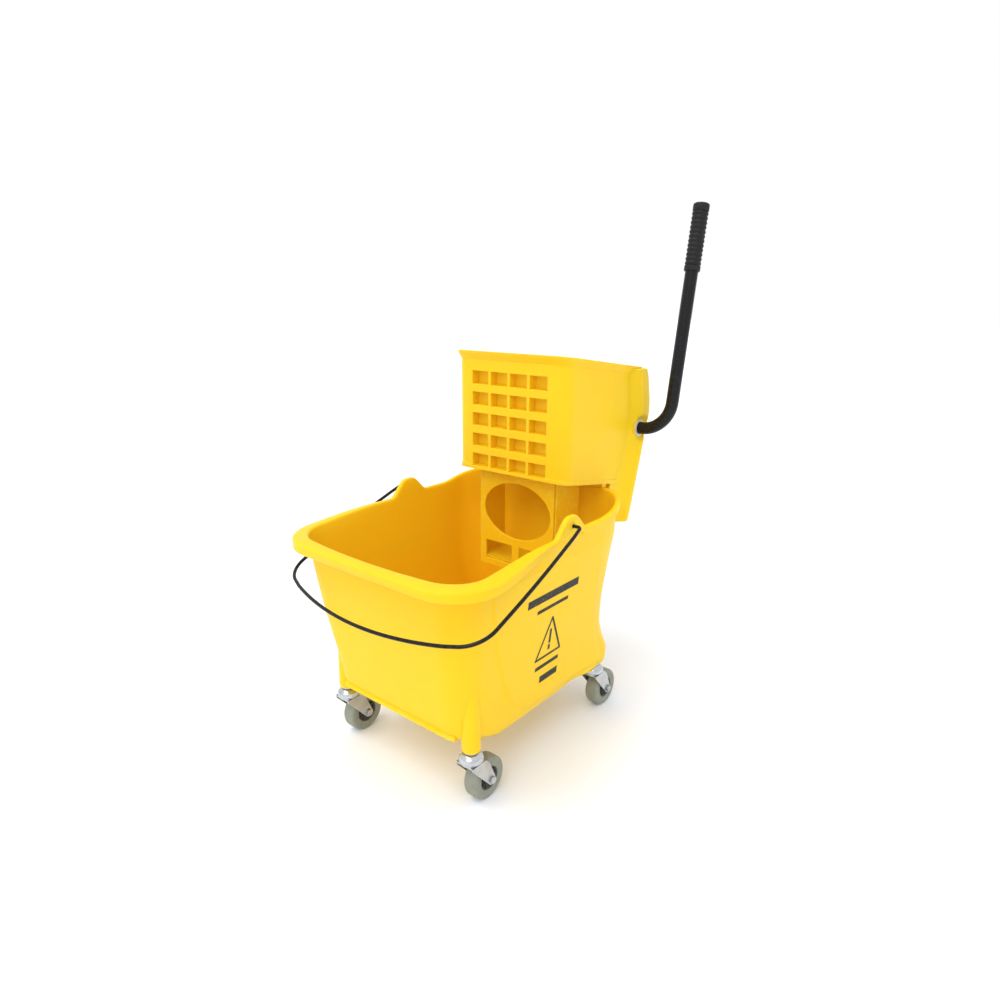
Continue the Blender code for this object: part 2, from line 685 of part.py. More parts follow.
def build_hood(material):
    """The rear hood, which closes the mechanism and hooks down behind the bucket's rear wall."""
    hood = side_outline("rear_hood", HOOD_SIDE, -HOOD_X, HOOD_X)
    wall = HOOD_WALL
    inside = [(0.360 + wall, 0.686 - wall), (0.360 + wall, 0.559), (0.356 + wall, 0.528), (0.346, 0.4995),
              (0.3205, 0.4735), (0.2925, 0.4485), (0.2735, 0.4235), (0.2675, 0.340), (0.3165, 0.340),
              (0.3305, 0.416), (0.384, 0.6005), (0.3825, 0.624), (0.3715, 0.673), (0.366, 0.6815)]
    cut(hood, side_outline("hood_space", inside, wall - HOOD_X, HOOD_X - wall))
    mouth_x = BASKET_X + GAP
    mouth = [(0.250, 0.700), (0.250, 0.330), (0.300, 0.330), (0.345, 0.470), (0.365, 0.520),
             (0.365, 0.6835), (0.352, 0.6835), (0.352, 0.700)]
    cut(hood, side_outline("hood_mouth", mouth, -mouth_x, mouth_x))
    for side in (-1, 1):
        x = side * 0.135
        cut(hood, cylinder(f"boss_notch_{side + 1}", (x, SHAFT_Y, SHAFT_Z), BOSS_RADIUS + GAP, 0.04,
                           axis="X"))
    return finish_part(hood, material, "wringer_lift")


def build_floor(material):
    """The slotted floor of the basket."""
    half = BASKET_X - BASKET_WALL - GAP
    front = BASKET_FRONT + POCKET_DEPTH + POCKET_BACK + GAP
    rear = 0.345
    points = [(front, basket_bottom(front) + 0.008), (front, basket_bottom(front) + 0.005),
              (rear, basket_bottom(rear) + 0.018), (rear, basket_bottom(rear) + 0.021)]
    floor = side_outline("drain_floor", points, -half, half)
    corner = 0.006
    for side in (-1, 1):
        low = min(side * (half - corner), side * (half + 0.01))
        high = max(side * (half - corner), side * (half + 0.01))
        cut(floor, box(f"floor_corner_{side + 1}", (low, front - 0.01, 0.40), (high, front + corner, 0.60)))
    for column in range(5):
        for row in range(4):
            x = (column - 2) * 0.040
            y = 0.145 + row * 0.052
            cut(floor, box(f"floor_slot_{column}_{row}", (x - 0.012, y - 0.018, 0.40),
                           (x + 0.012, y + 0.018, 0.60)))
    return finish_part(floor, material, "wringer_lift")


def build_support_panel(material):
    """The wringer's foot inside the bucket: a panel with an oval window and two flanges."""
    half, front, rear = 0.096, 0.126, 0.212
    top, bottom = 0.4880, 0.281
    panel = box("support_panel", (-half, front, bottom), (half, rear, top), 0.004)
    cut(panel, box("panel_space", (-half + 0.0035, front + 0.004, bottom - 0.02),
                   (half - 0.0035, rear + 0.02, top + 0.02)))
    window = cylinder("oval_window", (0, 0, 0), 0.083, 0.03, axis="Y", segments=32)
    window.scale = (1.0, 1.0, 0.70)
    window.location = (0.002, front + 0.003, 0.4125)
    cut(panel, window)
    for side in (-1, 1):
        x = side * 0.043
        cut(panel, box(f"low_window_{side + 1}", (x - 0.034, front - 0.01, 0.298),
                       (x + 0.034, front + 0.01, 0.338)))
    join(panel, box("panel_shelf", (0.002 - half, front + 0.002, 0.300), (half - 0.002, rear - 0.006, 0.3035)))
    return finish_part(panel, material, "wringer_lift")


def build_bushes(material):
    """Flanged nylon bushes in the two bosses."""
    for name, side in (("right", 1), ("left", -1)):
        profile = [(TUBE_RADIUS + GAP, 0.0), (0.0152, 0.0), (0.0152, 0.0225), (0.0175, 0.0225),
                   (0.0175, 0.0245), (TUBE_RADIUS + GAP, 0.0245)]
        bush = turned(f"shaft_bush_{name}", [(r, side * h) for r, h in profile],
                      (side * (BOSS_X - 0.0222), SHAFT_Y, SHAFT_Z), axis="X")
        finish_part(bush, material, "wringer_lift")


def build_hood_screws(material):
    """Pan-head screws that hold the hood, seen as heads on the inner faces of the side walls."""
    head_thick, crown, seat = 0.0024, 0.0030, 0.0046
    x = BASKET_X - BASKET_WALL - GAP - head_thick / 2
    number = 0
    for side, radii in ((-1, (seat, crown)), (1, (crown, seat))):
        for z in (0.650, 0.610):
            number += 1
            screw = cylinder(f"hood_screw_{number}", (side * x, 0.350, z), radii[0], head_thick, axis="X",
                             segments=12, top_radius=radii[1])
            finish_part(screw, material, "wringer_lift")


def build_spring(material):
    """Torsion return spring, coiled round the shaft beside the left crank arm."""
    turns, steps, radius, wire = 5, 12, 0.0165, 0.0012
    start_x, end_x = -0.1125, -0.0935
    points = []
    for i in range(turns * steps + 1):
        t = i / (turns * steps)
        angle = math.radians(30) + 2 * math.pi * turns * t
        points.append((start_x + (end_x - start_x) * t, SHAFT_Y + radius * math.cos(angle),
                       SHAFT_Z + radius * math.sin(angle)))
    spring = rod("return_spring", points, wire, sides=1)
    return finish_part(spring, material, "wringer_lift")


# ---------------------------------------------------------------- lever and press mechanism
def lever_direction():
    return Vector((0.0, math.sin(LEVER_LEAN), math.cos(LEVER_LEAN)))


def build_lever(material, rubber):
    """Cross shaft, bend and lever in one tube, with a rubber grip over its end."""
    shaft = Vector((0.0, SHAFT_Y, SHAFT_Z))
    side, up = Vector((1, 0, 0)), lever_direction()
    left, top = shaft - side * 0.1425, shaft + side * LEVER_X + up * (LEVER_LENGTH - 0.004)
    bend = arc(shaft + side * (LEVER_X - LEVER_BEND) + up * LEVER_BEND, side, up, LEVER_BEND, -90, 0, 8)
    tube = bent_tube("lever_tube", [left] + bend + [top], side.cross(up), TUBE_RADIUS, TUBE_WALL)
    finish_part(tube, material, "lever_axis")

    inner = TUBE_RADIUS + GAP
    profile = [(0.0, 0.0045), (0.0120, 0.0045), (GRIP_RADIUS - 0.0005, 0.0025), (GRIP_RADIUS, 0.0)]
    profile += [(GRIP_RADIUS, -GRIP_LENGTH + 0.002), (GRIP_RADIUS - 0.001, -GRIP_LENGTH),
                (inner, -GRIP_LENGTH), (inner, GAP), (0.0, GAP)]
    grip = turned("lever_grip", profile, (0, 0, 0))
    grip.location = shaft + side * LEVER_X + up * (LEVER_LENGTH - 0.004)
    grip.rotation_euler = (-LEVER_LEAN, 0.0, 0.0)
    finish_part(grip, rubber, "lever_axis")


def arm_outline(start, end, radius_start, radius_end):
    """A (y, z) outline of a flat arm with two round ends."""
    along = Vector((end[0] - start[0], end[1] - start[1]))
    heading = math.degrees(math.atan2(along.y, along.x))
    first = arc((0, *start), (0, 1, 0), (0, 0, 1), radius_start, heading + 90, heading + 270, 8)
    second = arc((0, *end), (0, 1, 0), (0, 0, 1), radius_end, heading - 90, heading + 90, 6)
    return [(p.y, p.z) for p in first + second]


def crank_tip():
    return (SHAFT_Y - CRANK_RADIUS * math.cos(CRANK_REST), SHAFT_Z + CRANK_RADIUS * math.sin(CRANK_REST))


def link_pivot():
    """Where the links meet the press plate, level with the shaft."""
    rise = CRANK_RADIUS * math.sin(CRANK_REST)
    reach = CRANK_RADIUS * math.cos(CRANK_REST) + math.sqrt(LINK_LENGTH ** 2 - rise ** 2)
    return (SHAFT_Y - reach, SHAFT_Z)


def flat_arm(name, start, end, radii, x, bore):
    half = ARM_THICK / 2 - GAP
    arm = side_outline(name, arm_outline(start, end, *radii), x - half, x + half)
    cut(arm, cylinder(f"{name}_bore", (x, start[0], start[1]), bore, 0.02, axis="X"))
    return arm


def rivet(name, plain_x, head_x, point, radius=0.0040, head_radius=0.0065, head_thick=0.002):
    """A pin along X from its plain end to the underside of its head."""
    outwards = 1 if head_x > plain_x else -1
    far_x = head_x + outwards * head_thick
    pin = cylinder(name, ((plain_x + far_x) / 2, *point), radius, abs(far_x - plain_x), axis="X",
                   segments=12)
    join(pin, cylinder(f"{name}_head", ((head_x + far_x) / 2, *point), head_radius, head_thick, axis="X",
                       segments=12))
    return pin


def build_cranks_and_links(material, pin_material):
    """Crank arms on the shaft and links to the plate; each link meets its crank face to face."""
    hub = (SHAFT_Y, SHAFT_Z)
    tip, pivot = crank_tip(), link_pivot()
    for name, side in (("left", -1), ("right", 1)):
        crank = flat_arm(f"crank_arm_{name}", hub, tip, (0.0182, 0.0095), side * CRANK_X, TUBE_RADIUS + GAP)
        cut(crank, cylinder(f"crank_eye_{name}", (side * CRANK_X, *tip), 0.0040 + GAP, 0.02, axis="X",
                            segments=12))
        finish_part(crank, material, "lever_axis")
        pin = rivet(f"crank_pin_{name}", side * (CRANK_X - ARM_THICK / 2 + GAP),
                    side * (CRANK_X + ARM_THICK / 2), tip)
        finish_part(pin, pin_material, "lever_axis")
        link = flat_arm(f"link_{name}", pivot, tip, (0.0095, 0.0095), side * LINK_X, 0.0040 + GAP)
        finish_part(link, material, f"link_axis_{name}")


def build_shaft_cap(material):
    """Push-on cap that keeps the shaft from sliding out on the left."""
    profile = [(0.0, 0.0), (0.0165, 0.0), (0.0180, -0.0015), (0.0180, -0.0060), (0.0, -0.0060)]
    cap = turned("shaft_cap", [(r, -h) for r, h in profile], (-0.1530 + 0.0015, SHAFT_Y, SHAFT_Z), axis="X")
    return finish_part(cap, material, "lever_axis")


def build_press_plate(material, pin_material, steel):
    """The press plate, slotted like a grille, with ribs, and the lugs that its links pull on."""
    pivot = link_pivot()
    front = pivot[0] - 0.030
    rear = front + PLATE_THICK
    plate = box("press_plate", (-PLATE_X, front, PLATE_BOTTOM), (PLATE_X, rear, PLATE_TOP), 0.002)
    for column in range(POCKET_COLUMNS):
        for row in range(4):
            x = (column - (POCKET_COLUMNS - 1) / 2) * POCKET_PITCH_X
            z = 0.5285 + row * POCKET_PITCH_Z
            cut(plate, box(f"plate_hole_{column}_{row}", (x - 0.017, front - 0.01, z - 0.010),
                           (x + 0.017, rear + 0.01, z + 0.010)))
    for side in (-1, 1):
        shoe = box(f"plate_shoe_{side + 1}", (min(side * 0.117, side * 0.1275), front, 0.6015),
                   (max(side * 0.117, side * 0.1275), rear + 0.022, 0.6095))
        join(plate, shoe)
    finish_part(plate, material, "plate_slide")
    for name, side in (("left", -1), ("right", 1)):
        x = side * CLEVIS_X
        outline_points = [(rear + GAP, SHAFT_Z - 0.020), (rear + 0.004, SHAFT_Z - 0.020)]
        nose = arc((0, *pivot), (0, 1, 0), (0, 0, 1), 0.0095, -60, 60, 5)
        outline_points += [(p.y, p.z) for p in nose]
        outline_points += [(rear + 0.004, SHAFT_Z + 0.020), (rear + GAP, SHAFT_Z + 0.020)]
        half = ARM_THICK / 2 - GAP
        lug = side_outline(f"plate_lug_{name}", outline_points, x - half, x + half)
        cut(lug, cylinder(f"lug_bore_{name}", (x, *pivot), 0.0040 + GAP, 0.02, axis="X", segments=12))
        finish_part(lug, steel, "plate_slide")
        pin = rivet(f"plate_pin_{name}", side * (LINK_X + ARM_THICK / 2 - GAP),
                    side * (CLEVIS_X - ARM_THICK / 2), pivot)
        finish_part(pin, pin_material, "plate_slide")


# ---------------------------------------------------------------- assembly
def add_pivots():
    add_pivot("bucket_frame", (0, 0, 0))
    add_pivot("bail_axis", (0, EAR_Y, BAIL_HOLE_Z), "bucket_frame")
    add_pivot("wringer_lift", (0, 0.24, 0.45), "bucket_frame")
    add_pivot("lever_axis", (0, SHAFT_Y, SHAFT_Z), "wringer_lift")
    add_pivot("plate_slide", (0, *link_pivot()), "wringer_lift")
    for name, side in (("left", -1), ("right", 1)):
        add_pivot(f"link_axis_{name}", (side * LINK_X, *link_pivot()), "plate_slide")
    bpy.data.objects["bucket_frame"].location = (0, FRAME_Y, 0)


def main():
    yellow, black, zinc = bucket_plastic(), black_steel(), zinc_steel()
    looks = {"zinc": zinc, "tread": grey_tread(), "hub": dark_hub(), "nylon": nylon()}
    add_pivots()
    build_bucket(yellow)
    build_bail(black)
    for place, x, y in caster_places():
        build_caster(place, x, y, looks)
    build_housing(yellow)
    build_hood(yellow)
    build_floor(yellow)
    build_support_panel(yellow)
    build_bushes(looks["nylon"])
    build_hood_screws(zinc)
    build_spring(zinc)
    build_lever(black, black_rubber())
    build_cranks_and_links(zinc, zinc)
    build_shaft_cap(looks["hub"])
    build_press_plate(yellow, zinc, zinc)
    bpy.context.view_layer.update()


main()
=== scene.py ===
"""Looks of the wheeled mop bucket and its side-press wringer.

Shapes are written in the bucket frame: X = 0 is the middle of the bucket, Y = 0 is midway between
the front and rear casters, Z = 0 is the floor. place() moves each finished mesh into the CAD frame.
"""

import json
import math

import bmesh
import bpy
from mathutils import Matrix, Vector

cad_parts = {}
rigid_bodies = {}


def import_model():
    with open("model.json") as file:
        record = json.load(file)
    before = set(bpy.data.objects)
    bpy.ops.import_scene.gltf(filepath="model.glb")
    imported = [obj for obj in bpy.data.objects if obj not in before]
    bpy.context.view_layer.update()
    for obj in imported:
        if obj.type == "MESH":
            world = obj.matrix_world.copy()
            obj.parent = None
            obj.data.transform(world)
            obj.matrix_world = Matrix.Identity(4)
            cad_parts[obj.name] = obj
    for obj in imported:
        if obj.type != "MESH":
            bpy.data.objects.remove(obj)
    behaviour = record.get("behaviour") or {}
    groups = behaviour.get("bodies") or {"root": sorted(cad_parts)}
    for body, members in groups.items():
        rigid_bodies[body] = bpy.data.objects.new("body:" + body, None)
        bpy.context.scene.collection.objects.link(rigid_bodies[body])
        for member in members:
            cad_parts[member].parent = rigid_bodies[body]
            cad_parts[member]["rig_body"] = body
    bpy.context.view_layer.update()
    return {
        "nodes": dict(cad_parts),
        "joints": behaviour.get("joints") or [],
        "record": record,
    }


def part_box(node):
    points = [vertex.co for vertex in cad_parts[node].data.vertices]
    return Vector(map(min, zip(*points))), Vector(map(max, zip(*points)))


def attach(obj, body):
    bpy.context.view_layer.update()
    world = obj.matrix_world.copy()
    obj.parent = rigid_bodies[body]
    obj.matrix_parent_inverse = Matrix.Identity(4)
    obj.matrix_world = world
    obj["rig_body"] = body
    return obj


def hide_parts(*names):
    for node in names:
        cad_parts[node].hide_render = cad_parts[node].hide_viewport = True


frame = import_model()

NODES = frame["nodes"]
JOINTS = {joint["name"]: joint for joint in frame["joints"]}
SLOT_OF = {entry["node"]: entry["material_slot"] for entry in frame["record"]["subparts"]}
PLACES = ("front_left", "front_right", "rear_left", "rear_right")

# ---------------------------------------------------------------- dimensions, in the bucket frame
FRAME_Y = (JOINTS["swivel_front_right"]["pos_m"][1] + JOINTS["swivel_rear_right"]["pos_m"][1]) / 2

WALL = 0.004
RIM_Z = 0.424
LIP = 0.029
EAR_Y, EAR_TOP, EAR_HALF, EAR_FLAT = 0.023, 0.470, 0.0475, 0.006
HOLE_Z = 0.452
EAR_STAND = 0.0075           # how far the ears stand out from the wall
FLOOR_Z = 0.118
UNDERSIDE_Z = 0.1135
LEG_BOTTOM = 0.107
FRONT_LEG = (0.0165, 0.250, 0.85)            # radius, top, and how slim the top is
REAR_LEG = (0.0135, 0.200, 0.30)
FOOT_HALF = 0.1695           # half width of the foot over the rear casters

BAIL_WIRE = 0.0031
BAIL_END, BAIL_IN_HOLE = 0.1965, 0.203
BAIL_HOOK_X, BAIL_X, BAIL_CORNER = 0.2205, 0.231, 0.056
BAIL_BEND = 0.007            # bend radius outside the ear
BAIL_CORNER_START = 0.256    # along the bail, from the ears to where its corners begin
BAIL_REACH, BAIL_BOW = 0.343, 0.585
BAIL_DROOP = math.radians(22)
# The bail's sides: distance from the ears, and how far they flare out of the hook.
BAIL_SIDES = (
    (0.03, 0.0026), (0.06, 0.0045), (0.09, 0.0064), (0.12, 0.0080), (0.155, 0.0094),
    (0.19, 0.0102), (0.225, 0.0105),
)

WHEEL_RADIUS, WHEEL_HALF, SPOKES = 0.0381, 0.0140, 10
TUBE_RADIUS = 0.0125
TUBE_BEND = 0.058
TUBE_STOPS = (0.12, 0.20, 0.30, 0.4339)      # along the lever, from the shaft's axis
LEVER_LEAN = math.radians(9.7)
LEVER_UP = Vector((0.0, math.sin(LEVER_LEAN), math.cos(LEVER_LEAN)))
LEVER_TOP, GRIP_CAP = 0.438, 0.004
GRIP_RADIUS, GRIP_LENGTH, GRIP_RIDGES = 0.0155, 0.122, 12

# Outer wall sections: height, half width, front, rear, front corner, rear corner radius.
WALL_SECTIONS = (
    (0.0930, 0.148, -0.146, 0.232, 0.045, 0.030),
    (0.0965, 0.1565, -0.153, 0.2365, 0.045, 0.030),
    (0.1060, 0.162, -0.168, 0.239, 0.045, 0.030),
    (0.1280, 0.166, -0.2090, 0.240, 0.045, 0.030),
    (0.1600, 0.169, -0.2165, 0.230, 0.050, 0.040),
    (0.2070, 0.1745, -0.2245, 0.217, 0.050, 0.055),
    (0.2780, 0.183, -0.2375, 0.225, 0.052, 0.075),
    (0.3400, 0.190, -0.2470, 0.235, 0.054, 0.082),
    (0.3940, 0.1965, -0.2535, 0.245, 0.056, 0.088),
)
WALL_TOP = WALL_SECTIONS[-1][0]


def smooth_step(value, low, high):
    t = min(max((value - low) / (high - low), 0.0), 1.0)
    return t * t * (3 - 2 * t)


def between(table, value):
    """Straight interpolation in a table of (key, value) pairs."""
    if value <= table[0][0]:
        return table[0][1]
    for (a, low), (b, high) in zip(table, table[1:]):
        if value <= b:
            return low + (high - low) * (value - a) / (b - a)
    return table[-1][1]


# ---------------------------------------------------------------- materials
class Look:
    """A Principled material whose colour, roughness and bump come from noise in object space."""

    def __init__(self, name, colour, roughness, metallic=0.0):
        self.material = bpy.data.materials.new(name)
        self.material.use_nodes = True
        self.tree = self.material.node_tree
        self.shader = self.tree.nodes["Principled BSDF"]
        self.uniform("Metallic", metallic)
        self.place = self.node("ShaderNodeTexCoord").outputs["Object"]
        self.colour = self.rgb(colour)
        self.roughness = roughness
        self.spread = []
        self.bumps = None

    def node(self, kind):
        return self.tree.nodes.new(kind)

    def link(self, start, end):
        self.tree.links.new(start, end)

    def rgb(self, colour):
        """A constant colour as a node output, so that later layers can mix onto it."""
        item = self.node("ShaderNodeRGB")
        item.outputs[0].default_value = (*colour, 1.0)
        return item.outputs[0]

    def noise(self, scale, detail=3.0, roughness=0.5, stretch=None):
        item = self.node("ShaderNodeTexNoise")
        item.inputs["Scale"].default_value = scale
        item.inputs["Detail"].default_value = detail
        item.inputs["Roughness"].default_value = roughness
        source = self.place
        if stretch:
            mapping = self.node("ShaderNodeMapping")
            mapping.inputs["Scale"].default_value = stretch
            self.link(source, mapping.inputs["Vector"])
            source = mapping.outputs["Vector"]
        self.link(source, item.inputs["Vector"])
        return item.outputs["Fac"]

    def remap(self, value, low, high, to_low, to_high):
        item = self.node("ShaderNodeMapRange")
        for socket, number in zip(("From Min", "From Max", "To Min", "To Max"),
                                  (low, high, to_low, to_high)):
            item.inputs[socket].default_value = number
        self.link(value, item.inputs["Value"])
        return item.outputs["Result"]

    def tint(self, mask, colour):
        """Mixes a colour over the material where the mask is high."""
        mix = self.node("ShaderNodeMix")
        mix.data_type = "RGBA"
        self.link(mask, mix.inputs["Factor"])
        self.link(self.colour, mix.inputs["A"])
        mix.inputs["B"].default_value = (*colour, 1.0)
        self.colour = mix.outputs["Result"]

    def rougher(self, value, low, high, amount):
        """Adds up to this much roughness as the value goes from low to high."""
        self.spread.append(self.remap(value, low, high, 0.0, amount))

    def bump(self, height, distance, strength=1.0):
        item = self.node("ShaderNodeBump")
        item.inputs["Strength"].default_value = strength
        item.inputs["Distance"].default_value = distance
        self.link(height, item.inputs["Height"])
        if self.bumps:
            self.link(self.bumps, item.inputs["Normal"])
        self.bumps = item.outputs["Normal"]

    def edges(self):
        """High on outward edges, from the mesh's pointiness."""
        pointiness = self.node("ShaderNodeNewGeometry").outputs["Pointiness"]
        return self.remap(pointiness, 0.52, 0.60, 0.0, 1.0)

    def multiply(self, a, b):
        item = self.node("ShaderNodeMath")
        item.operation = "MULTIPLY"
        self.link(a, item.inputs[0])
        self.link(b, item.inputs[1])
        return item.outputs[0]

    def uniform(self, socket, value):
        self.shader.inputs[socket].default_value = value

    def done(self):
        """Links the collected layers to the shader and returns the material."""
        total = None
        for part in self.spread:
            item = self.node("ShaderNodeMath")
            item.operation = "ADD"
            item.inputs[0].default_value = self.roughness
            if total:
                self.link(total, item.inputs[0])
            self.link(part, item.inputs[1])
            total = item.outputs[0]
        if total:
            self.link(total, self.shader.inputs["Roughness"])
        else:
            self.uniform("Roughness", self.roughness)
        self.link(self.colour, self.shader.inputs["Base Color"])
        if self.bumps:
            self.link(self.bumps, self.shader.inputs["Normal"])
        return self.material


def yellow_plastic():
    """Injection-moulded polyethylene: satin, faintly mottled, scuffed along its edges."""
    look = Look("bucket_plastic_look", (0.900, 0.585, 0.012), 0.33)
    look.tint(look.remap(look.noise(7.0), 0.35, 0.7, 0.0, 0.35), (0.885, 0.552, 0.009))
    look.tint(look.remap(look.noise(240.0, 4.0), 0.45, 0.75, 0.0, 0.16), (0.92, 0.63, 0.026))
    scuffs = look.remap(look.noise(90.0, 6.0, 0.7), 0.48, 0.62, 0.0, 0.5)
    look.tint(look.multiply(look.edges(), scuffs), (0.95, 0.75, 0.16))
    look.rougher(look.noise(26.0, 5.0), 0.35, 0.7, 0.12)
    look.rougher(look.noise(60.0, 3.0, 0.6, (1.0, 1.0, 0.12)), 0.55, 0.8, 0.10)
    look.bump(look.noise(9.0, 2.0), 0.0016, 0.25)
    look.bump(look.noise(520.0, 2.0), 0.00016, 0.55)
    look.uniform("Specular IOR Level", 0.15)
    look.uniform("Subsurface Weight", 0.45)
    look.uniform("Subsurface Radius", (1.0, 0.62, 0.12))
    look.uniform("Subsurface Scale", 0.007)
    return look.done()


def black_coating():
    """Black powder coat on steel tube and wire: fine orange peel and a few rubbed spots."""
    look = Look("black_coated_steel_look", (0.008, 0.008, 0.009), 0.24)
    rubbed = look.multiply(look.remap(look.noise(70.0, 6.0, 0.7), 0.56, 0.68, 0.0, 1.0),
                           look.remap(look.noise(11.0), 0.5, 0.7, 0.0, 0.6))
    look.tint(rubbed, (0.05, 0.048, 0.045))
    look.rougher(look.noise(150.0, 4.0), 0.4, 0.7, 0.12)
    look.bump(look.noise(900.0, 2.0), 0.00008, 0.5)
    look.uniform("Specular IOR Level", 0.22)
    return look.done()


def bright_zinc():
    """Bright zinc plate: cool, slightly cloudy, with drawing lines and dull patches."""
    look = Look("zinc_plated_steel_look", (0.58, 0.60, 0.62), 0.13, 1.0)
    look.tint(look.remap(look.noise(45.0, 5.0), 0.45, 0.75, 0.0, 0.6), (0.34, 0.36, 0.38))
    look.tint(look.remap(look.noise(18.0, 3.0), 0.55, 0.8, 0.0, 0.35), (0.50, 0.48, 0.42))
    look.rougher(look.noise(120.0, 5.0), 0.4, 0.7, 0.16)
    look.bump(look.noise(420.0, 3.0, 0.6, (1.0, 1.0, 0.15)), 0.00008, 0.6)
    return look.done()


def grey_tread():
    """Non-marking grey rubber: matte, dusty and finely pitted."""
    look = Look("grey_rubber_tread_look", (0.262, 0.274, 0.218), 0.55)
    look.tint(look.remap(look.noise(60.0, 5.0), 0.45, 0.75, 0.0, 0.6), (0.195, 0.203, 0.160))
    look.tint(look.remap(look.noise(320.0, 3.0), 0.60, 0.75, 0.0, 0.6), (0.12, 0.12, 0.10))
    look.rougher(look.noise(80.0, 4.0), 0.4, 0.7, 0.2)
    look.bump(look.noise(700.0, 3.0), 0.0002, 0.6)
    return look.done()


def hub_plastic():
    """Dark moulded plastic, dusty and faintly grained."""
    look = Look("dark_hub_plastic_look", (0.062, 0.062, 0.055), 0.42)
    look.tint(look.remap(look.noise(90.0, 4.0), 0.45, 0.75, 0.0, 0.5), (0.10, 0.10, 0.088))
    look.rougher(look.noise(130.0, 4.0), 0.4, 0.7, 0.15)
    look.bump(look.noise(600.0, 2.0), 0.0001, 0.5)
    return look.done()


def grip_rubber():
    """Black grip rubber, rubbed paler on its ridges."""
    look = Look("black_grip_rubber_look", (0.010, 0.010, 0.010), 0.5)
    look.uniform("Specular IOR Level", 0.25)
    look.tint(look.multiply(look.edges(), look.remap(look.noise(180.0, 4.0), 0.4, 0.7, 0.2, 0.9)),
              (0.030, 0.030, 0.029))
    look.rougher(look.noise(110.0, 4.0), 0.4, 0.7, 0.15)
    look.bump(look.noise(1400.0, 2.0), 0.00012, 0.6)
    return look.done()


def nylon():
    """Natural nylon, slightly yellowed."""
    look = Look("nylon_look", (0.62, 0.59, 0.50), 0.36)
    look.tint(look.remap(look.noise(120.0, 4.0), 0.45, 0.75, 0.0, 0.5), (0.54, 0.51, 0.42))
    look.rougher(look.noise(140.0, 4.0), 0.4, 0.7, 0.12)
    look.bump(look.noise(800.0, 2.0), 0.00008, 0.4)
    return look.done()


def mark_ink():
    """Hot-stamped dark ink, slightly broken where it wore off."""
    look = Look("printed_mark_look", (0.014, 0.012, 0.010), 0.36)
    look.uniform("Specular IOR Level", 0.2)
    look.tint(look.remap(look.noise(420.0, 4.0), 0.62, 0.72, 0.0, 0.8), (0.45, 0.30, 0.02))
    look.rougher(look.noise(200.0, 3.0), 0.4, 0.7, 0.15)
    look.bump(look.noise(700.0, 2.0), 0.00006, 0.4)
    return look.done()


def floor_paint():
    """Plain pale studio floor."""
    look = Look("floor_look", (0.91, 0.935, 0.985), 0.7)
    look.uniform("Specular IOR Level", 0.2)
    look.tint(look.remap(look.noise(1.5, 3.0), 0.4, 0.7, 0.0, 0.2), (0.90, 0.925, 0.975))
    look.rougher(look.noise(12.0, 3.0), 0.4, 0.7, 0.1)
    return look.done()


LOOKS = {
    "bucket_plastic": yellow_plastic(),
    "black_coated_steel": black_coating(),
    "zinc_plated_steel": bright_zinc(),
    "grey_rubber_tread": grey_tread(),
    "dark_hub_plastic": hub_plastic(),
    "black_grip_rubber": grip_rubber(),
    "nylon": nylon(),
}
INK = mark_ink()


# ---------------------------------------------------------------- mesh helpers
def finish_piece(item, body, slot, replaces=(), material=None):
    item.data.materials.clear()
    item.data.materials.append(material or LOOKS[slot])
    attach(item, body)
    if replaces:
        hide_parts(*replaces)
    return item


def place(name, shape, smooth_angle=40):
    """Turns a bucket-frame shape into an object in the CAD frame."""
    bmesh.ops.recalc_face_normals(shape, faces=shape.faces)
    bmesh.ops.translate(shape, vec=(0, FRAME_Y, 0), verts=shape.verts)
    mesh = bpy.data.meshes.new(name)
    shape.to_mesh(mesh)
    shape.free()
    mesh.shade_smooth()
    mesh.set_sharp_from_angle(angle=math.radians(smooth_angle))
    item = bpy.data.objects.new(name, mesh)
    bpy.context.scene.collection.objects.link(item)
    return item


def add_rings(shape, rings, cap_start=True, cap_end=True):
    """Adds a skin over rings that have the same number of points."""
    layers = [[shape.verts.new(point) for point in ring] for ring in rings]
    count = len(layers[0])
    for low, high in zip(layers, layers[1:]):
        for i in range(count):
            j = (i + 1) % count
            shape.faces.new((low[i], low[j], high[j], high[i]))
    if cap_start:
        shape.faces.new(layers[0][::-1])
    if cap_end:
        shape.faces.new(layers[-1])
    return shape


AXIS_TURN = {
    "X": Matrix.Rotation(math.radians(90), 4, "Y"),
    "Y": Matrix.Rotation(math.radians(-90), 4, "X"),
    "Z": Matrix.Identity(4),
}


def turned_ring(turn, radius, height, segments):
    ring = []
    for i in range(segments):
        angle = 2 * math.pi * i / segments
        ring.append(turn @ Vector((radius * math.cos(angle), radius * math.sin(angle), height)))
    return ring


def add_turned(shape, profile, centre, axis="Z", segments=48, closed=True):
    """Adds a (radius, height) profile turned about an axis; a closed one joins its ends."""
    turn = Matrix.Translation(centre) @ AXIS_TURN[axis]
    rings = [turned_ring(turn, radius, height, segments) for radius, height in profile]
    if closed:
        rings.append(rings[0])
    add_rings(shape, rings, cap_start=not closed, cap_end=not closed)
    bmesh.ops.remove_doubles(shape, verts=shape.verts, dist=0.000001)
    return shape


def rounded(profile, radius, steps=3):
    """Rounds each corner of an open (radius, height) profile, except its two ends."""
    points = [profile[0]]
    for before, here, after in zip(profile, profile[1:], profile[2:]):
        a, b, c = Vector(before), Vector(here), Vector(after)
        reach = min(radius, (a - b).length * 0.45, (c - b).length * 0.45)
        start = b + (a - b).normalized() * reach
        end = b + (c - b).normalized() * reach
        for i in range(steps + 1):
            t = i / steps
            points.append(tuple(start.lerp(b, t).lerp(b.lerp(end, t), t)))
    return points + [profile[-1]]


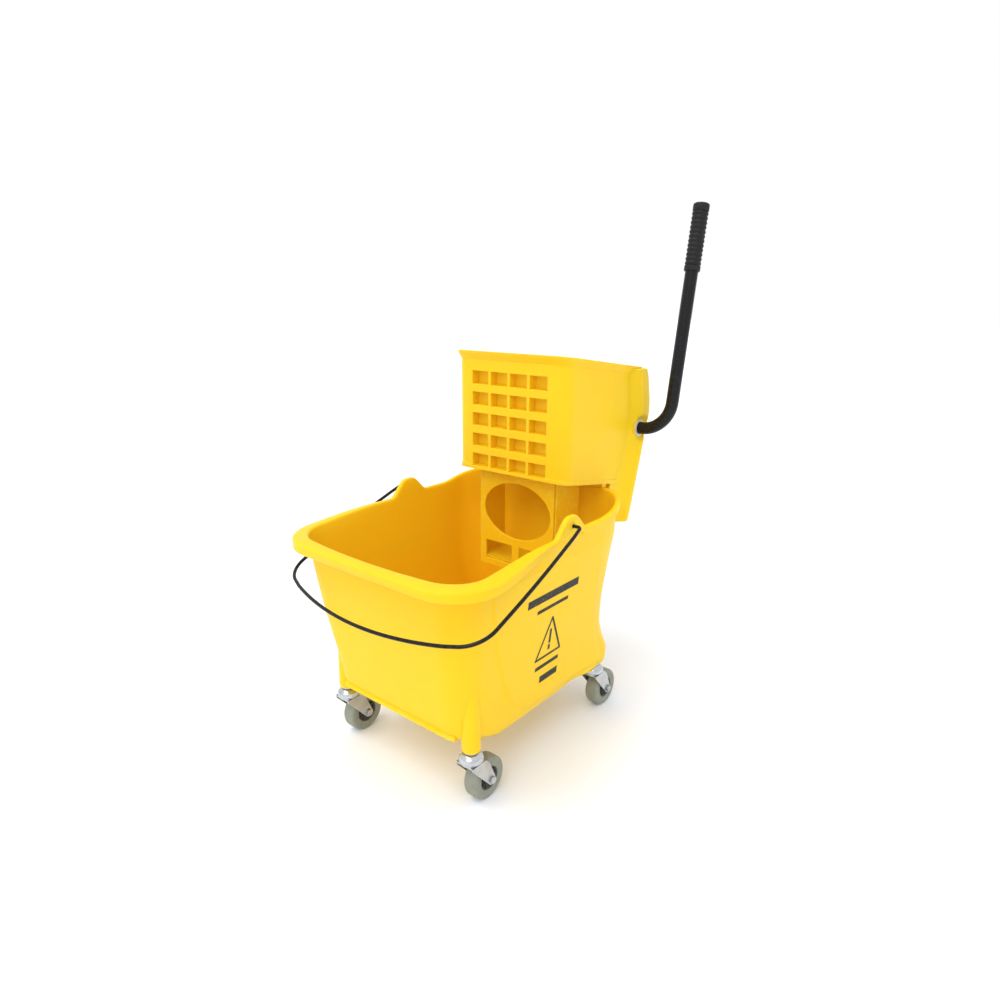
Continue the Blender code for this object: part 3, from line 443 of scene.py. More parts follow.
def sweep(shape, path, radius, sides=16):
    """Adds a round bar with flat ends along a path."""
    normal = Vector((0.37, 0.21, 0.9))
    rings = []
    last = len(path) - 1
    for i, point in enumerate(path):
        along = (path[min(i + 1, last)] - path[max(i - 1, 0)]).normalized()
        across = (normal - along * normal.dot(along)).normalized()
        normal = across
        third = along.cross(across)
        rings.append([point + radius * (math.cos(t) * across + math.sin(t) * third)
                      for t in (2 * math.pi * k / sides for k in range(sides))])
    return add_rings(shape, rings)


def arc(centre, u, v, radius, start, end, steps):
    """Points on an arc in the plane of u and v, between two angles in degrees."""
    turn = [math.radians(start + (end - start) * i / steps) for i in range(steps + 1)]
    return [centre + radius * (math.cos(t) * u + math.sin(t) * v) for t in turn]


def refined(node, bevel=0.0006, segments=2, angle=28):
    """A finer copy of a CAD node: flat facets merged, edges rounded, normals smoothed."""
    source = NODES[node]
    shape = bmesh.new()
    shape.from_mesh(source.data)
    bmesh.ops.remove_doubles(shape, verts=shape.verts, dist=0.00001)
    bmesh.ops.dissolve_limit(shape, angle_limit=math.radians(0.8),
                             verts=shape.verts, edges=shape.edges)
    mesh = bpy.data.meshes.new(f"fine_{node}")
    shape.to_mesh(mesh)
    shape.free()
    mesh.shade_smooth()
    mesh.set_sharp_from_angle(angle=math.radians(angle))
    item = bpy.data.objects.new(f"fine_{node}", mesh)
    bpy.context.scene.collection.objects.link(item)
    rounding = item.modifiers.new("rounded_edges", "BEVEL")
    rounding.limit_method = "ANGLE"
    rounding.angle_limit = math.radians(angle)
    rounding.width = bevel
    rounding.segments = segments
    rounding.use_clamp_overlap = True
    normals = item.modifiers.new("weighted_normals", "WEIGHTED_NORMAL")
    normals.keep_sharp = False
    return finish_piece(item, source["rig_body"], SLOT_OF[node], (node,))


# ---------------------------------------------------------------- bucket
FRONT_STEPS, CORNER_STEPS, REAR_STEPS = 28, 12, 14
EAR_STEPS, BEFORE_STEPS, AFTER_STEPS = 26, 16, 14
# The raised side panel's front and rear edges, as (height, y).
PANEL_FRONT = ((0.110, -0.060), (0.165, -0.108), (0.221, -0.134), (0.275, -0.154),
               (0.317, -0.168), (0.367, -0.179), (0.394, -0.184))
PANEL_REAR = ((0.110, 0.196), (0.160, 0.180), (0.207, 0.160), (0.278, 0.148), (0.394, 0.150))
PANEL_BOTTOM = 0.114
PANEL_CORNER = 0.034
PANEL_RISE = 0.0024
PANEL_RAMP = 0.0045
FOOT_RISE = 0.010            # how far the lower edge rises towards the rear
INNER_TOP, INNER_LOW, INNER_STEPS = 0.380, 0.132, 22
# From the inner wall to the floor: section height, inset, ring height, shrink in x and in y.
FLOOR_RINGS = (
    (0.1280, WALL + 0.0006, 0.1285, 1.0, 1.0),
    (0.1250, WALL + 0.0016, 0.1258, 1.0, 1.0),
    (0.1200, WALL + 0.003, FLOOR_Z + 0.006, 1.0, 1.0),
    (0.1240, WALL + 0.008, FLOOR_Z + 0.0022, 0.975, 0.955),
    (0.1280, WALL + 0.012, FLOOR_Z, 0.93, 0.88),
)


def section_at(height):
    """The outer wall's section at a height: a smooth curve through the listed ones."""
    table = WALL_SECTIONS
    if height >= table[-1][0]:
        return table[-1]
    i = max(k for k in range(len(table) - 1) if height >= table[k][0])
    before, low = table[max(i - 1, 0)], table[i]
    high, after = table[i + 1], table[min(i + 2, len(table) - 1)]
    span = high[0] - low[0]
    t = (height - low[0]) / span
    values = [height]
    for k in range(1, 6):
        chord = (high[k] - low[k]) / span
        slope_low = (low[k] - before[k]) / (low[0] - before[0]) if i else chord
        slope_high = (after[k] - high[k]) / (after[0] - high[0]) if after is not high else chord
        m0, m1 = (0.0 if slope * chord <= 0 else 2 * slope * chord / (slope + chord) * span
                  for slope in (slope_low, slope_high))
        values.append((2 * t ** 3 - 3 * t * t + 1) * low[k] + (t ** 3 - 2 * t * t + t) * m0
                      + (3 * t * t - 2 * t ** 3) * high[k] + (t ** 3 - t * t) * m1)
    return tuple(values)


def side_stops(start, end, height):
    """Y places along a side wall; some follow the raised panel's edges, others the ear."""
    edge = max(between(PANEL_FRONT, height), start + 0.004)
    ear_start, ear_end = EAR_Y - EAR_HALF, EAR_Y + EAR_HALF
    stops = [start + (edge - start) * i / 6 for i in range(1, 7)]
    stops += [edge + PANEL_RAMP * s for s in (0.33, 0.67, 1.0, 1.3)]
    base = stops[-1]
    stops += [base + (ear_start - base) * i / BEFORE_STEPS for i in range(1, BEFORE_STEPS)]
    stops += [ear_start + (ear_end - ear_start) * i / EAR_STEPS for i in range(EAR_STEPS + 1)]
    stops += [ear_end + (end - ear_end) * i / AFTER_STEPS for i in range(1, AFTER_STEPS)]
    return stops


def plan(height, half, front, rear, front_radius, rear_radius):
    """The outline at a height as (x, y, nx, ny)."""
    flat = half - front_radius
    points = [(-flat + 2 * flat * i / FRONT_STEPS, front, 0.0, -1.0)
              for i in range(FRONT_STEPS + 1)]

    def corner(cx, cy, radius, start):
        for i in range(1, CORNER_STEPS + 1):
            t = math.radians(start + 90 * i / CORNER_STEPS)
            nx, ny = math.cos(t), math.sin(t)
            points.append((cx + radius * nx, cy + radius * ny, nx, ny))

    stops = side_stops(front + front_radius, rear - rear_radius, height)
    corner(flat, front + front_radius, front_radius, -90)
    points.extend((half, y, 1.0, 0.0) for y in stops)
    points.append((half, rear - rear_radius, 1.0, 0.0))
    corner(half - rear_radius, rear - rear_radius, rear_radius, 0)
    for i in range(1, REAR_STEPS + 1):
        points.append(((half - rear_radius) * (1 - 2 * i / REAR_STEPS), rear, 0.0, 1.0))
    corner(rear_radius - half, rear - rear_radius, rear_radius, 90)
    points.extend((-half, y, -1.0, 0.0) for y in reversed(stops))
    points.append((-half, front + front_radius, -1.0, 0.0))
    corner(-flat, front + front_radius, front_radius, 180)
    return points[:-1]


def panel_rise(y, z):
    """Height of the raised side panel, which has a rounded lower front corner."""
    from_front = y - between(PANEL_FRONT, z)
    from_bottom = z - PANEL_BOTTOM
    if from_front < PANEL_CORNER and from_bottom < PANEL_CORNER:
        away = math.hypot(PANEL_CORNER - from_front, PANEL_CORNER - from_bottom)
        inside = PANEL_CORNER - away
    else:
        inside = min(from_front, from_bottom)
    inside = min(inside, between(PANEL_REAR, z) - y)
    return PANEL_RISE * smooth_step(inside, 0.0, PANEL_RAMP)


def wall_ring(height, inset=0.0, raised=False, relief=False):
    """A ring of the wall; raised lifts and widens the foot, relief adds the side panels."""
    _, half, front, rear, front_radius, rear_radius = section_at(height)
    ring = []
    for x, y, nx, ny in plan(height, half - inset, front + inset, rear - inset,
                             front_radius - inset, max(rear_radius - inset, 0.02)):
        z = height
        if raised:
            z += FOOT_RISE * smooth_step(y, 0.06, 0.17) * (1 - smooth_step(height, 0.106, 0.128))
            full = smooth_step(y, 0.09, 0.16) * (1 - smooth_step(height, 0.120, 0.190))
            x *= 1 + (FOOT_HALF / half - 1) * full
        out = panel_rise(y, z) if relief and abs(nx) > 0.99 else 0.0
        ring.append((x + nx * out, y + ny * out, z))
    return ring


def rim_height(y):
    """Height of the rim along the side: low at the lip, up over the ears and towards the rear."""
    base = RIM_Z + 0.012 * smooth_step(y, -0.25, -0.06) + 0.004 * smooth_step(y, -0.04, 0.08)
    base += 0.022 * smooth_step(y, 0.12, 0.24)
    return base + (EAR_TOP - base) * ear_weight(y) ** 0.8


def ear_weight(y):
    """1 on the ear's level top, falling smoothly to 0 at its two ends."""
    reach = max(abs(y - EAR_Y) - EAR_FLAT, 0.0) / (EAR_HALF - EAR_FLAT)
    return 0.5 + 0.5 * math.cos(math.pi * min(reach, 1.0))


def rim_ring(outward, drop, crown=0.0, level=0.0):
    """A ring of the rim; outward and drop are (front, side) pairs, measured from the wall."""
    _, half, front, rear, front_radius, rear_radius = WALL_SECTIONS[-1]
    ring = []
    for x, y, nx, ny in plan(WALL_TOP, half, front, rear, front_radius, rear_radius):
        lip = 1.0 - smooth_step(y, -0.20, 0.0)
        out = outward[1] + (outward[0] - outward[1]) * lip
        out += crown * lip * max(0.0, 1.0 - (x / 0.17) ** 2)
        z = rim_height(y) - (drop[1] + (drop[0] - drop[1]) * lip)
        z -= level * (rim_height(y) - RIM_Z - 0.014) * ear_weight(y)
        ring.append((x + nx * out, y + ny * out, z))
    return ring


# The rim's profile, from under the lip over its top and down inside: outward (front, side),
# drop (front, side), crown, and how far the ring stays level under the ears.
RIM_PROFILE = (
    ((0.0008, 0.0003), (0.0262, 0.0172), 0.0, 1.0),
    ((0.0026, 0.0009), (0.0240, 0.0154), 0.0, 1.0),
    ((0.0060, 0.0018), (0.0230, 0.0149), 0.0, 1.0),
    ((0.0150, 0.0038), (0.0227, 0.0147), 0.0, 1.0),
    ((0.0255, 0.0060), (0.0225, 0.0145), 0.0, 1.0),
    ((0.0278, 0.0069), (0.0218, 0.0139), 0.0005, 1.0),
    ((0.0288, 0.0074), (0.0205, 0.0128), 0.001, 1.0),
    ((LIP, 0.0075), (0.0180, 0.0110), 0.0015, 0.9),
    ((LIP, 0.0075), (0.0120, 0.0070), 0.0035, 0.4),
    ((LIP, 0.0075), (0.0070, 0.0035), 0.0050, 0.0),
    ((0.0286, 0.0072), (0.0053, 0.0022), 0.0052, 0.0),
    ((0.0272, 0.0064), (0.0040, 0.0011), 0.0056, 0.0),
    ((0.0245, 0.0052), (0.0030, 0.0005), 0.0064, 0.0),
    ((0.0170, 0.0036), (0.0014, 0.0001), 0.0090, 0.0),
    ((0.0090, 0.0018), (0.0004, 0.0), 0.0120, 0.0),
    ((0.0045, 0.0004), (0.0001, 0.0), 0.0130, 0.0),
    ((0.0022, -0.0010), (0.0008, 0.0005), 0.0130, 0.0),
    ((0.0008, -0.0022), (0.0026, 0.0020), 0.0126, 0.0),
    ((0.0000, -0.0030), (0.0060, 0.0055), 0.0115, 0.0),
    ((-0.0015, -0.0036), (0.0120, 0.0120), 0.0080, 0.0),
    ((-0.0030, -WALL), (0.0200, 0.0200), 0.0040, 0.0),
)


def wall_heights():
    """Ring heights of the outer wall, close together at the foot and the panel's edge."""
    low = [0.0930, 0.0936, 0.0948, 0.0965, 0.0985, 0.1010, 0.1035, 0.1060, 0.1100, PANEL_BOTTOM]
    low += [PANEL_BOTTOM + PANEL_RAMP * s for s in (0.33, 0.67, 1.0)]
    low += [0.1225, 0.1255, 0.1280, 0.1310]
    start, steps = 0.1345, 60
    return low + [start + (WALL_TOP - start) * i / steps for i in range(steps + 1)]


def build_bucket():
    """Walls, pouring lip, ears, floor and the skirt under it, as one fine shell."""
    rings = [[(x, y, UNDERSIDE_Z) for x, y, _ in wall_ring(0.0930, 0.007)]]
    rings.append(wall_ring(0.0930, 0.0045, raised=True))
    rings += [wall_ring(height, raised=True, relief=True) for height in wall_heights()]
    rings += [rim_ring(*entry) for entry in RIM_PROFILE]
    for i in range(INNER_STEPS + 1):
        rings.append(wall_ring(INNER_TOP - (INNER_TOP - INNER_LOW) * i / INNER_STEPS, WALL))
    for height, inset, z, shrink_x, shrink_y in FLOOR_RINGS:
        rings.append([(x * shrink_x, y * shrink_y, z) for x, y, _ in wall_ring(height, inset)])
    shape = add_rings(bmesh.new(), rings)
    shell = place("bucket_shell", shape, 50)
    return finish_piece(shell, "bucket", "bucket_plastic", ("bucket_body",))


def build_ear_bosses():
    """A small raised eye round each bail hole."""
    face = WALL_SECTIONS[-1][1] + EAR_STAND
    inner, outer, proud = 0.0044, 0.0092, 0.0012
    shape = bmesh.new()
    for side in (-1, 1):
        profile = rounded([(inner, -0.002), (inner, proud), (outer - 0.001, proud),
                           (outer, -0.002)], 0.0007)
        profile = [(radius, side * height) for radius, height in profile]
        add_turned(shape, profile, (side * face, EAR_Y, HOLE_Z), "X", 32)
    return finish_piece(place("ear_bosses", shape, 50), "bucket", "bucket_plastic")


def depth_inside(x, y, height):
    """Distance from the outer wall, negative inside, and the way out."""
    _, half, front, rear, front_radius, rear_radius = section_at(max(height, 0.128))
    radius = front_radius if y < 0 else rear_radius
    centre_y = front + radius if y < 0 else rear - radius
    side = 1 if x > 0 else -1
    px, py = abs(x) - (half - radius), (centre_y - y) if y < 0 else (y - centre_y)
    if px > 0 and py > 0:
        length = math.hypot(px, py)
        out_y = -py if y < 0 else py
        return length - radius, (side * px / length, out_y / length)
    if px > py:
        return px - radius, (side, 0.0)
    return py - radius, (0.0, -1.0 if y < 0 else 1.0)


def build_legs():
    """Four leg columns whose tops melt into the bucket's corners."""
    steps, sides = 24, 36
    chamfer, free_below, sink = 0.0012, 0.120, 0.0022
    shape = bmesh.new()
    for place_name in PLACES:
        x, y, _ = JOINTS[f"swivel_{place_name}"]["pos_m"]
        y -= FRAME_Y
        foot, top, slimming = FRONT_LEG if y < 0 else REAR_LEG
        rings = []
        for i in range(steps + 1):
            z = LEG_BOTTOM + (top - LEG_BOTTOM) * i / steps
            radius = foot * (1 + (slimming - 1) * (i / steps))
            if i == 0:
                radius -= chamfer
            ring = []
            for k in range(sides):
                angle = 2 * math.pi * k / sides
                px, py = x + radius * math.cos(angle), y + radius * math.sin(angle)
                if z > free_below:
                    depth, way = depth_inside(px, py, z)
                    push = max(0.0, -sink - depth)
                    px, py = px + way[0] * push, py + way[1] * push
                ring.append((px, py, z))
            rings.append(ring)
        add_rings(shape, [[(px, py, LEG_BOTTOM) for px, py, _ in rings[0]]] + rings[1:])
    return finish_piece(place("bucket_legs", shape, 60), "bucket", "bucket_plastic")


def build_front_flange():
    """The moulded flange along the front's lower edge, with a rounded nose."""
    shape = bmesh.new()
    rings = []
    half, steps = 0.139, 40
    for i in range(steps + 1):
        x = -half + 2 * half * i / steps
        end = 1 - smooth_step(abs(x), 0.128, half) * 0.75
        reach = 0.0052 * end
        nose = [(-0.2000, 0.1222), (-0.2085 - reach * 0.6, 0.1218), (-0.2088 - reach, 0.1240),
                (-0.2090 - reach, 0.1268), (-0.2085 - reach * 0.7, 0.1296), (-0.2100, 0.1318),
                (-0.2060, 0.1320)]
        rings.append([(x, y, z) for y, z in nose])
    add_rings(shape, rings)
    return finish_piece(place("front_flange", shape, 60), "bucket", "bucket_plastic")


def build_bail():
    """The wire bail, from inside one ear hole round to the other."""
    down = Vector((0.0, -math.cos(BAIL_DROOP), -math.sin(BAIL_DROOP)))
    side = Vector((1.0, 0.0, 0.0))
    pivot = Vector((0.0, EAR_Y, HOLE_Z))
    half = [pivot + side * x for x in (BAIL_END, BAIL_IN_HOLE, BAIL_HOOK_X - BAIL_BEND)]
    half += arc(pivot + side * (BAIL_HOOK_X - BAIL_BEND) + down * BAIL_BEND, side, down,
                BAIL_BEND, -90, 0, 8)[1:]
    half += [pivot + side * (BAIL_HOOK_X + flare) + down * reach for reach, flare in BAIL_SIDES]
    half += arc(pivot + side * (BAIL_X - BAIL_CORNER) + down * BAIL_CORNER_START, side, down,
                BAIL_CORNER, 0, 66, 16)
    half += arc(pivot + down * (BAIL_REACH - BAIL_BOW), down, side, BAIL_BOW, 17.5, 1.5, 12)
    mirrored = [Vector((-p.x, p.y, p.z)) for p in half]
    shape = sweep(bmesh.new(), half + [pivot + down * BAIL_REACH] + mirrored[::-1], BAIL_WIRE, 14)
    return finish_piece(place("bail", shape, 60), "bail", "black_coated_steel", ("bail_wire",))


# ---------------------------------------------------------------- wringer hood
HOOD_X, HOOD_WALL, BASKET_X = 0.150, 0.0035, 0.132
HOOD_LOW, HOOD_TOP = 0.379, 0.690
HOOD_CORNER = 0.009
FLARE_SINK = 0.0004          # how far the flare starts inside the basket wall
FLARE_POWER = 2.5            # how late the flare swings out
BOSS_FACE = 0.1405
BOSS_FLAT, BOSS_BLEND = 0.0190, 0.0290       # round the shaft: level with the face, then free
MOUTH_Y = 0.3602             # front edge of the strip over the hood
SHAFT_Y, SHAFT_Z = 0.355, 0.569
# By height: y where the flared side leaves the basket wall, where it is fully out, and of the rear.
FLARE_START = ((0.379, 0.266), (0.463, 0.266), (0.485, 0.282), (0.510, 0.300), (0.545, 0.315),
               (0.600, 0.324), (0.690, 0.312))
FLARE_END = ((0.379, 0.304), (0.416, 0.316), (0.477, 0.338), (0.541, 0.353), (0.617, 0.353),
             (0.690, 0.337))
HOOD_REAR = ((0.379, 0.322), (0.415, 0.334), (0.590, 0.3846), (0.603, 0.3872), (0.625, 0.386),
             (0.676, 0.374), (0.686, 0.369), (0.690, 0.366))


def smoothed(table, value, reach=0.012):
    """The table's value with its corners rounded over a short reach."""
    steps = 6
    spots = [value + reach * (2 * k / steps - 1) for k in range(steps + 1)]
    return sum(between(table, spot) for spot in spots) / len(spots)


def boss_limit(y, z):
    """Keeps the flare below the shaft boss's face near the shaft."""
    away = math.hypot(y - SHAFT_Y, z - SHAFT_Z)
    return BOSS_FACE + (HOOD_X - BOSS_FACE) * smooth_step(away, BOSS_FLAT, BOSS_BLEND)


def hood_half(z, inset):
    """Right half of the hood's outline at a height, from the flare's start to mid-rear."""
    start, end = smoothed(FLARE_START, z), smoothed(FLARE_END, z)
    rear = smoothed(HOOD_REAR, z, 0.004) - inset
    side, corner = HOOD_X - inset, HOOD_CORNER - min(inset, HOOD_CORNER / 2)
    points = []
    flare_steps, corner_steps = 14, 6
    for k in range(flare_steps + 1):
        t = k / flare_steps
        y = start + (end - start) * t
        x = BASKET_X - FLARE_SINK - inset + (HOOD_X - BASKET_X + FLARE_SINK) * t ** FLARE_POWER
        points.append((min(x, boss_limit(y, z) - inset), y))
    for k in range(1, 4):
        y = end + (rear - corner - end) * k / 3
        points.append((min(side, boss_limit(y, z) - inset), y))
    for k in range(1, corner_steps + 1):
        turn = math.radians(90 * k / corner_steps)
        y = rear - corner + corner * math.sin(turn)
        points.append((min(side - corner + corner * math.cos(turn), boss_limit(y, z) - inset), y))
    width = side - corner
    return points + [(width * (1 - k / 6), rear) for k in range(1, 7)]


def hood_outline(z, inset):
    half = hood_half(z, inset)
    return half + [(-x, y) for x, y in half[-2::-1]]


def build_hood():
    """The hood: sides flared out of the basket walls, rounded rear corners, a strip on top."""
    steps = 88
    shell_top = HOOD_TOP - HOOD_WALL
    rings = []
    for i in range(steps + 1):
        z = HOOD_LOW + (shell_top - HOOD_LOW) * i / steps
        edge = 0.0008 if i == 0 else 0.0
        outer, inner = hood_outline(z, edge), hood_outline(z, HOOD_WALL - edge)
        rings.append([(x, y, z) for x, y in outer] + [(x, y, z) for x, y in reversed(inner)])
    shape = add_rings(bmesh.new(), rings)
    lid = []
    mouth = [(-BASKET_X, MOUTH_Y), (BASKET_X, MOUTH_Y)]
    for z, inset in ((shell_top - 0.0005, 0.0002), (HOOD_TOP - 0.0020, 0.0),
                     (HOOD_TOP - 0.0008, 0.0006), (HOOD_TOP - 0.0002, 0.0014),
                     (HOOD_TOP, 0.0028)):
        lid.append([(x, y, z) for x, y in hood_outline(z, inset) + mouth])
    add_rings(shape, lid)
    return finish_piece(place("hood", shape, 50), "wringer", "bucket_plastic", ("rear_hood",))


# ---------------------------------------------------------------- marks on the sides
MARK_LIFT = 0.00025
APEX, FRONT_FOOT, REAR_FOOT = (-0.004, 0.287), (-0.041, 0.211), (0.033, 0.211)
# Each stroke's two ends, as (y, z), and its width: a triangle, its dash and dot, and plain bars.
MARK_LINES = (
    (APEX, FRONT_FOOT, 0.0046),
    (FRONT_FOOT, REAR_FOOT, 0.0046),
    (REAR_FOOT, APEX, 0.0046),
    ((-0.004, 0.262), (-0.004, 0.237), 0.0060),
    ((-0.004, 0.230), (-0.004, 0.2235), 0.0065),
    ((-0.080, 0.336), (0.062, 0.336), 0.0150),
    ((-0.052, 0.312), (0.036, 0.312), 0.0070),
    ((-0.036, 0.192), (0.030, 0.192), 0.0080),
    ((-0.016, 0.164), (0.030, 0.164), 0.0140),
)


def side_wall_x(y, z):
    return section_at(z)[1] + panel_rise(y, z) + MARK_LIFT


def add_strip(shape, corners, side):
    """A thin four-cornered mark laid on the side wall, split so that it follows the wall."""
    a, b, c, d = (Vector(corner) for corner in corners)
    rows, columns = 6, 8
    grid = []
    for i in range(rows + 1):
        row = []
        for j in range(columns + 1):
            s, t = i / rows, j / columns
            spot = a.lerp(b, t).lerp(d.lerp(c, t), s)
            row.append(shape.verts.new((side * side_wall_x(spot.x, spot.y), spot.x, spot.y)))
        grid.append(row)
    for low, high in zip(grid, grid[1:]):
        for j in range(columns):
            shape.faces.new((low[j], low[j + 1], high[j + 1], high[j]))


def line(shape, start, end, width, side):
    """A straight stroke between two (y, z) points, a little longer than their distance."""
    start, end = Vector(start), Vector(end)
    along = (end - start).normalized()
    start, end = start - along * width * 0.3, end + along * width * 0.3
    across = Vector((-along.y, along.x)) * width / 2
    add_strip(shape, (start - across, end - across, end + across, start + across), side)


def build_marks(side, name):
    """A plain hazard triangle with plain bars over and under it; it carries no lettering."""
    shape = bmesh.new()
    for start, end, width in MARK_LINES:
        line(shape, start, end, width, side)
    return finish_piece(place(name, shape, 60), "bucket", "bucket_plastic", material=INK)


# ---------------------------------------------------------------- casters
def build_wheel(place_name):
    """A rubber tread with rounded shoulders on a dished, ribbed hub."""
    x, y, z = JOINTS[f"roll_{place_name}"]["pos_m"]
    centre = (x, y - FRAME_Y, z)
    half, radius = WHEEL_HALF, WHEEL_RADIUS
    tread = rounded([(0.0235, half - 0.0012), (0.0300, half), (radius - 0.0030, half),
                     (radius, half - 0.0040), (radius, 0.0), (radius, 0.0040 - half),
                     (radius - 0.0030, -half), (0.0300, -half), (0.0235, 0.0012 - half)], 0.0024, 4)
    tread += [(0.0214, 0.0012 - half), (0.0214, half - 0.0012)]
    shape = add_turned(bmesh.new(), tread, centre, "X", 72)
    body = f"wheel_{place_name}"
    finish_piece(place(f"tread_{place_name}", shape, 50), body, "grey_rubber_tread",
                 (f"wheel_tread_{place_name}",))
    face = rounded([(0.0043, 0.0158), (0.0085, 0.0158), (0.0093, 0.0096), (0.0120, 0.0080),
                    (0.0180, 0.0086), (0.0196, 0.0122), (0.0212, half - 0.0012)], 0.0008, 2)
    profile = face + [(r, -h) for r, h in reversed(face)]
    shape = add_turned(bmesh.new(), profile, centre, "X", 56)
    for k in range(SPOKES):
        angle = 2 * math.pi * k / SPOKES
        for direction in (-1, 1):
            add_spoke(shape, Vector(centre), angle, direction)
    finish_piece(place(f"hub_{place_name}", shape, 45), body, "dark_hub_plastic",
                 (f"wheel_hub_{place_name}",))


def add_spoke(shape, centre, angle, direction):
    """A short radial rib in the hub's dish."""
    out = Vector((0, math.cos(angle), math.sin(angle)))
    across = Vector((0, -math.sin(angle), math.cos(angle)))
    side = Vector((direction, 0, 0))
    rings = []
    for reach, low, high, width in ((0.0090, 0.0070, 0.0120, 0.0011),
                                    (0.0140, 0.0070, 0.0112, 0.0010),
                                    (0.0196, 0.0070, 0.0118, 0.0009)):
        middle = centre + out * reach
        rings.append([middle + side * low - across * width, middle + side * low + across * width,
                      middle + side * high + across * width * 0.7,
                      middle + side * high - across * width * 0.7])
    add_rings(shape, rings)


def build_cup(place_name):
    """The raceway cup: rolled lower edge, bright shoulder, collar and stem."""
    x, y, _ = JOINTS[f"swivel_{place_name}"]["pos_m"]
    node = f"stem_cup_{place_name}"
    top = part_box(node)[1][2]
    profile = rounded([(0.0, 0.0006), (0.0185, 0.0006), (0.0212, 0.0012), (0.0215, 0.0042),
                       (0.0198, 0.0098), (0.0150, 0.0146), (0.0102, 0.0166), (0.0086, 0.0176),
                       (0.0084, 0.0204), (0.0058, 0.0205), (0.0058, 0.0505), (0.0045, 0.0520),
                       (0.0, 0.0522)], 0.0014, 4)
    centre = (x, y - FRAME_Y, top - 0.0525)
    shape = add_turned(bmesh.new(), profile, centre, "Z", 56, closed=False)
    cup = place(f"raceway_{place_name}", shape, 50)
    return finish_piece(cup, "bucket", "zinc_plated_steel", (node,))


# ---------------------------------------------------------------- lever
def build_grip():
    """Rubber grip: smooth collars at both ends and rounded ridges between them."""
    low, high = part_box("lever_grip")
    shaft = Vector(JOINTS["lever_turn"]["pos_m"])
    x = (low[0] + high[0]) / 2
    inner = TUBE_RADIUS + 0.0003
    profile = [(inner, 0.0003), (inner, -GRIP_LENGTH), (GRIP_RADIUS - 0.0012, -GRIP_LENGTH),
               (GRIP_RADIUS, -GRIP_LENGTH + 0.0014), (GRIP_RADIUS, -GRIP_LENGTH + 0.0095)]
    start, stop = -GRIP_LENGTH + 0.0105, -0.0105
    pitch = (stop - start) / GRIP_RIDGES
    for k in range(GRIP_RIDGES):
        for t, depth in ((0.0, 0.0014), (0.12, 0.0013), (0.28, 0.0004), (0.5, 0.0),
                         (0.72, 0.0004), (0.88, 0.0013)):
            profile.append((GRIP_RADIUS - depth, start + (k + t) * pitch))
    profile += [(GRIP_RADIUS - 0.0014, stop), (GRIP_RADIUS, stop + 0.0012), (GRIP_RADIUS, 0.0005),
                (GRIP_RADIUS - 0.0004, 0.0026), (GRIP_RADIUS - 0.0022, 0.0040),
                (0.0100, 0.0045), (0.0, 0.0045)]
    shape = bmesh.new()
    turn = (Matrix.Translation((x, shaft.y - FRAME_Y, shaft.z))
            @ Matrix.Translation(LEVER_UP * (LEVER_TOP - GRIP_CAP))
            @ Matrix.Rotation(-LEVER_LEAN, 4, "X"))
    rings = [turned_ring(turn, radius, height, 48) for radius, height in profile]
    add_rings(shape, rings)
    bmesh.ops.remove_doubles(shape, verts=shape.verts, dist=0.000001)
    grip = place("ribbed_grip", shape, 50)
    return finish_piece(grip, "lever", "black_grip_rubber", ("lever_grip",))


def build_tube():
    """Shaft and lever in one finely bent tube."""
    shaft = Vector(JOINTS["lever_turn"]["pos_m"]) - Vector((0, FRAME_Y, 0))
    low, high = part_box("lever_tube")
    side = Vector((1, 0, 0))
    lever_x = high[0] - TUBE_RADIUS
    path = [shaft + side * x for x in (low[0] + 0.0001, -0.05, 0.06)]
    path += arc(shaft + side * (lever_x - TUBE_BEND) + LEVER_UP * TUBE_BEND, side, LEVER_UP,
                TUBE_BEND, -90, 0, 28)
    path += [shaft + side * lever_x + LEVER_UP * stop for stop in TUBE_STOPS]
    shape = sweep(bmesh.new(), path, TUBE_RADIUS - 0.00003, 40)
    bar = place("lever_bar", shape, 60)
    return finish_piece(bar, "lever", "black_coated_steel", ("lever_tube",))


# ---------------------------------------------------------------- stage, light, camera
def add_sun(name, towards, strength, spread):
    """A wide, even light that shines from the given direction."""
    data = bpy.data.lights.new(name, "SUN")
    data.energy = strength
    data.angle = spread
    lamp = bpy.data.objects.new(name, data)
    bpy.context.scene.collection.objects.link(lamp)
    lamp.rotation_euler = Vector(towards).to_track_quat("Z", "Y").to_euler()


def build_stage():
    """A round pale floor, a white world and two suns."""
    rings = [turned_ring(Matrix.Identity(4), radius, 0.0, 96) for radius in (30.0, 8.0, 2.0)]
    shape = add_rings(bmesh.new(), rings, cap_start=False)
    floor = place("studio_floor", shape)
    floor.data.materials.append(floor_paint())
    world = bpy.data.worlds.new("studio")
    world.use_nodes = True
    background = world.node_tree.nodes["Background"]
    background.inputs["Color"].default_value = (1.0, 1.0, 1.0, 1.0)
    background.inputs["Strength"].default_value = 1.0
    bpy.context.scene.world = world
    bpy.context.scene.view_settings.view_transform = "Standard"
    add_sun("key", (-0.22, -0.34, 1.0), 0.75, math.radians(26))
    add_sun("front_fill", (0.22, -0.85, 0.85), 0.75, math.radians(34))


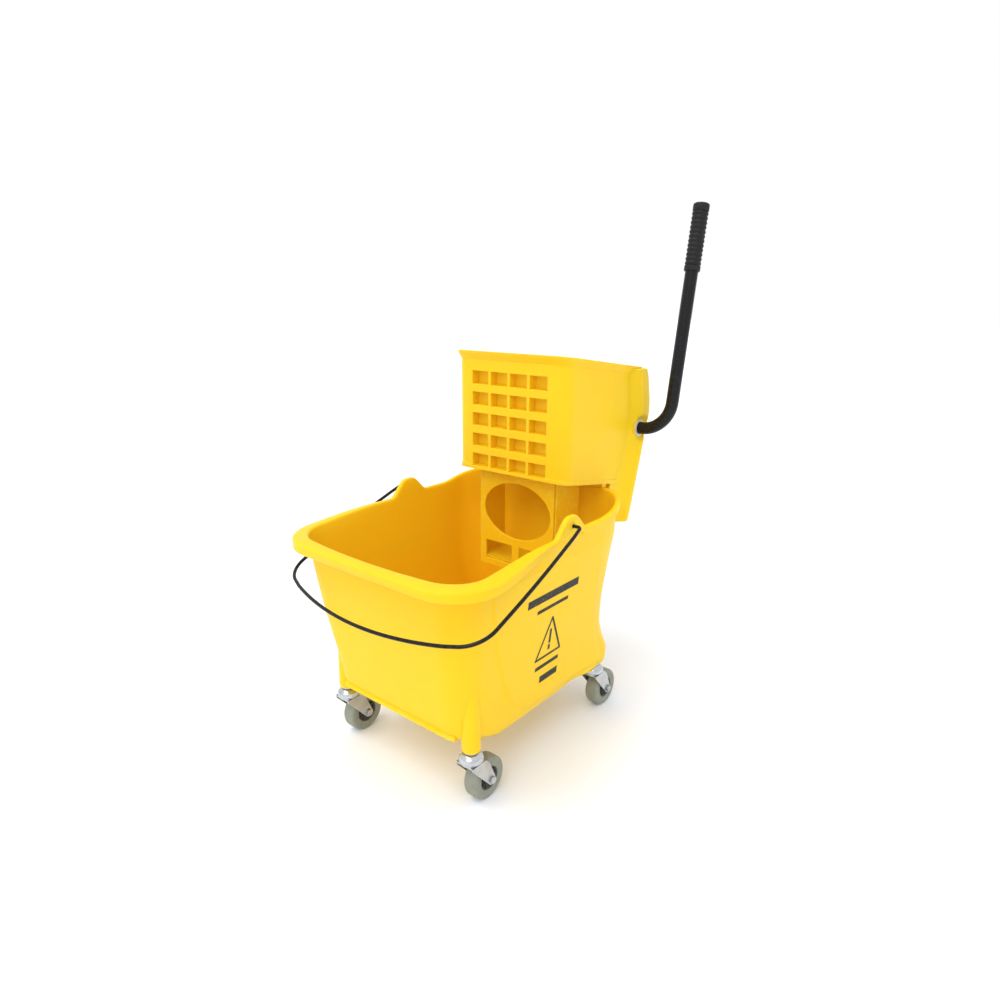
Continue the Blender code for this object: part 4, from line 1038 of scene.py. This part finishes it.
CAMERA_PLACE = (0.8235, -0.9374, 0.8248)
CAMERA_AZIMUTH, CAMERA_DOWN, CAMERA_ROLL = math.radians(39.0946), math.radians(16.0905), 0.0068
LENS, SENSOR = 25.229, 36.0


def build_camera():
    """Stands to the front right, above the wringer, and looks down a little."""
    data = bpy.data.cameras.new("camera")
    data.sensor_width = SENSOR
    data.lens = LENS
    camera = bpy.data.objects.new("camera", data)
    bpy.context.scene.collection.objects.link(camera)
    level = math.cos(CAMERA_DOWN)
    forward = Vector((-math.sin(CAMERA_AZIMUTH) * level, math.cos(CAMERA_AZIMUTH) * level,
                      -math.sin(CAMERA_DOWN)))
    right = Vector((math.cos(CAMERA_AZIMUTH), math.sin(CAMERA_AZIMUTH), 0.0))
    up = right.cross(forward)
    cos_roll, sin_roll = math.cos(CAMERA_ROLL), math.sin(CAMERA_ROLL)
    turned_right = right * cos_roll + up * sin_roll
    turned_up = up * cos_roll - right * sin_roll
    basis = Matrix((turned_right, turned_up, -forward)).transposed().to_4x4()
    x, y, z = CAMERA_PLACE
    camera.matrix_world = Matrix.Translation((x, y + FRAME_Y, z)) @ basis
    bpy.context.scene.camera = camera


# ---------------------------------------------------------------- assembly
MOULDINGS = ("wringer_housing", "support_panel", "drain_floor", "press_plate")
SMALL_PARTS = ("plate_lug_left", "plate_lug_right", "link_left", "link_right", "crank_arm_left",
               "crank_arm_right", "shaft_cap", "hood_screw_1", "hood_screw_2", "hood_screw_3",
               "hood_screw_4")

build_bucket()
build_ear_bosses()
build_legs()
build_front_flange()
build_bail()
build_hood()
build_marks(1, "side_mark_right")
build_marks(-1, "side_mark_left")
for name in PLACES:
    build_wheel(name)
    build_cup(name)
    for node in (f"fork_{name}", f"axle_bolt_{name}", f"axle_nut_{name}"):
        refined(node, 0.0005)
build_grip()
build_tube()
for node in MOULDINGS:
    refined(node, 0.0008)
for node in SMALL_PARTS:
    refined(node, 0.0004)
for node, item in NODES.items():
    if not item.hide_render:
        item.data.materials.clear()
        item.data.materials.append(LOOKS[SLOT_OF[node]])
build_stage()
build_camera()
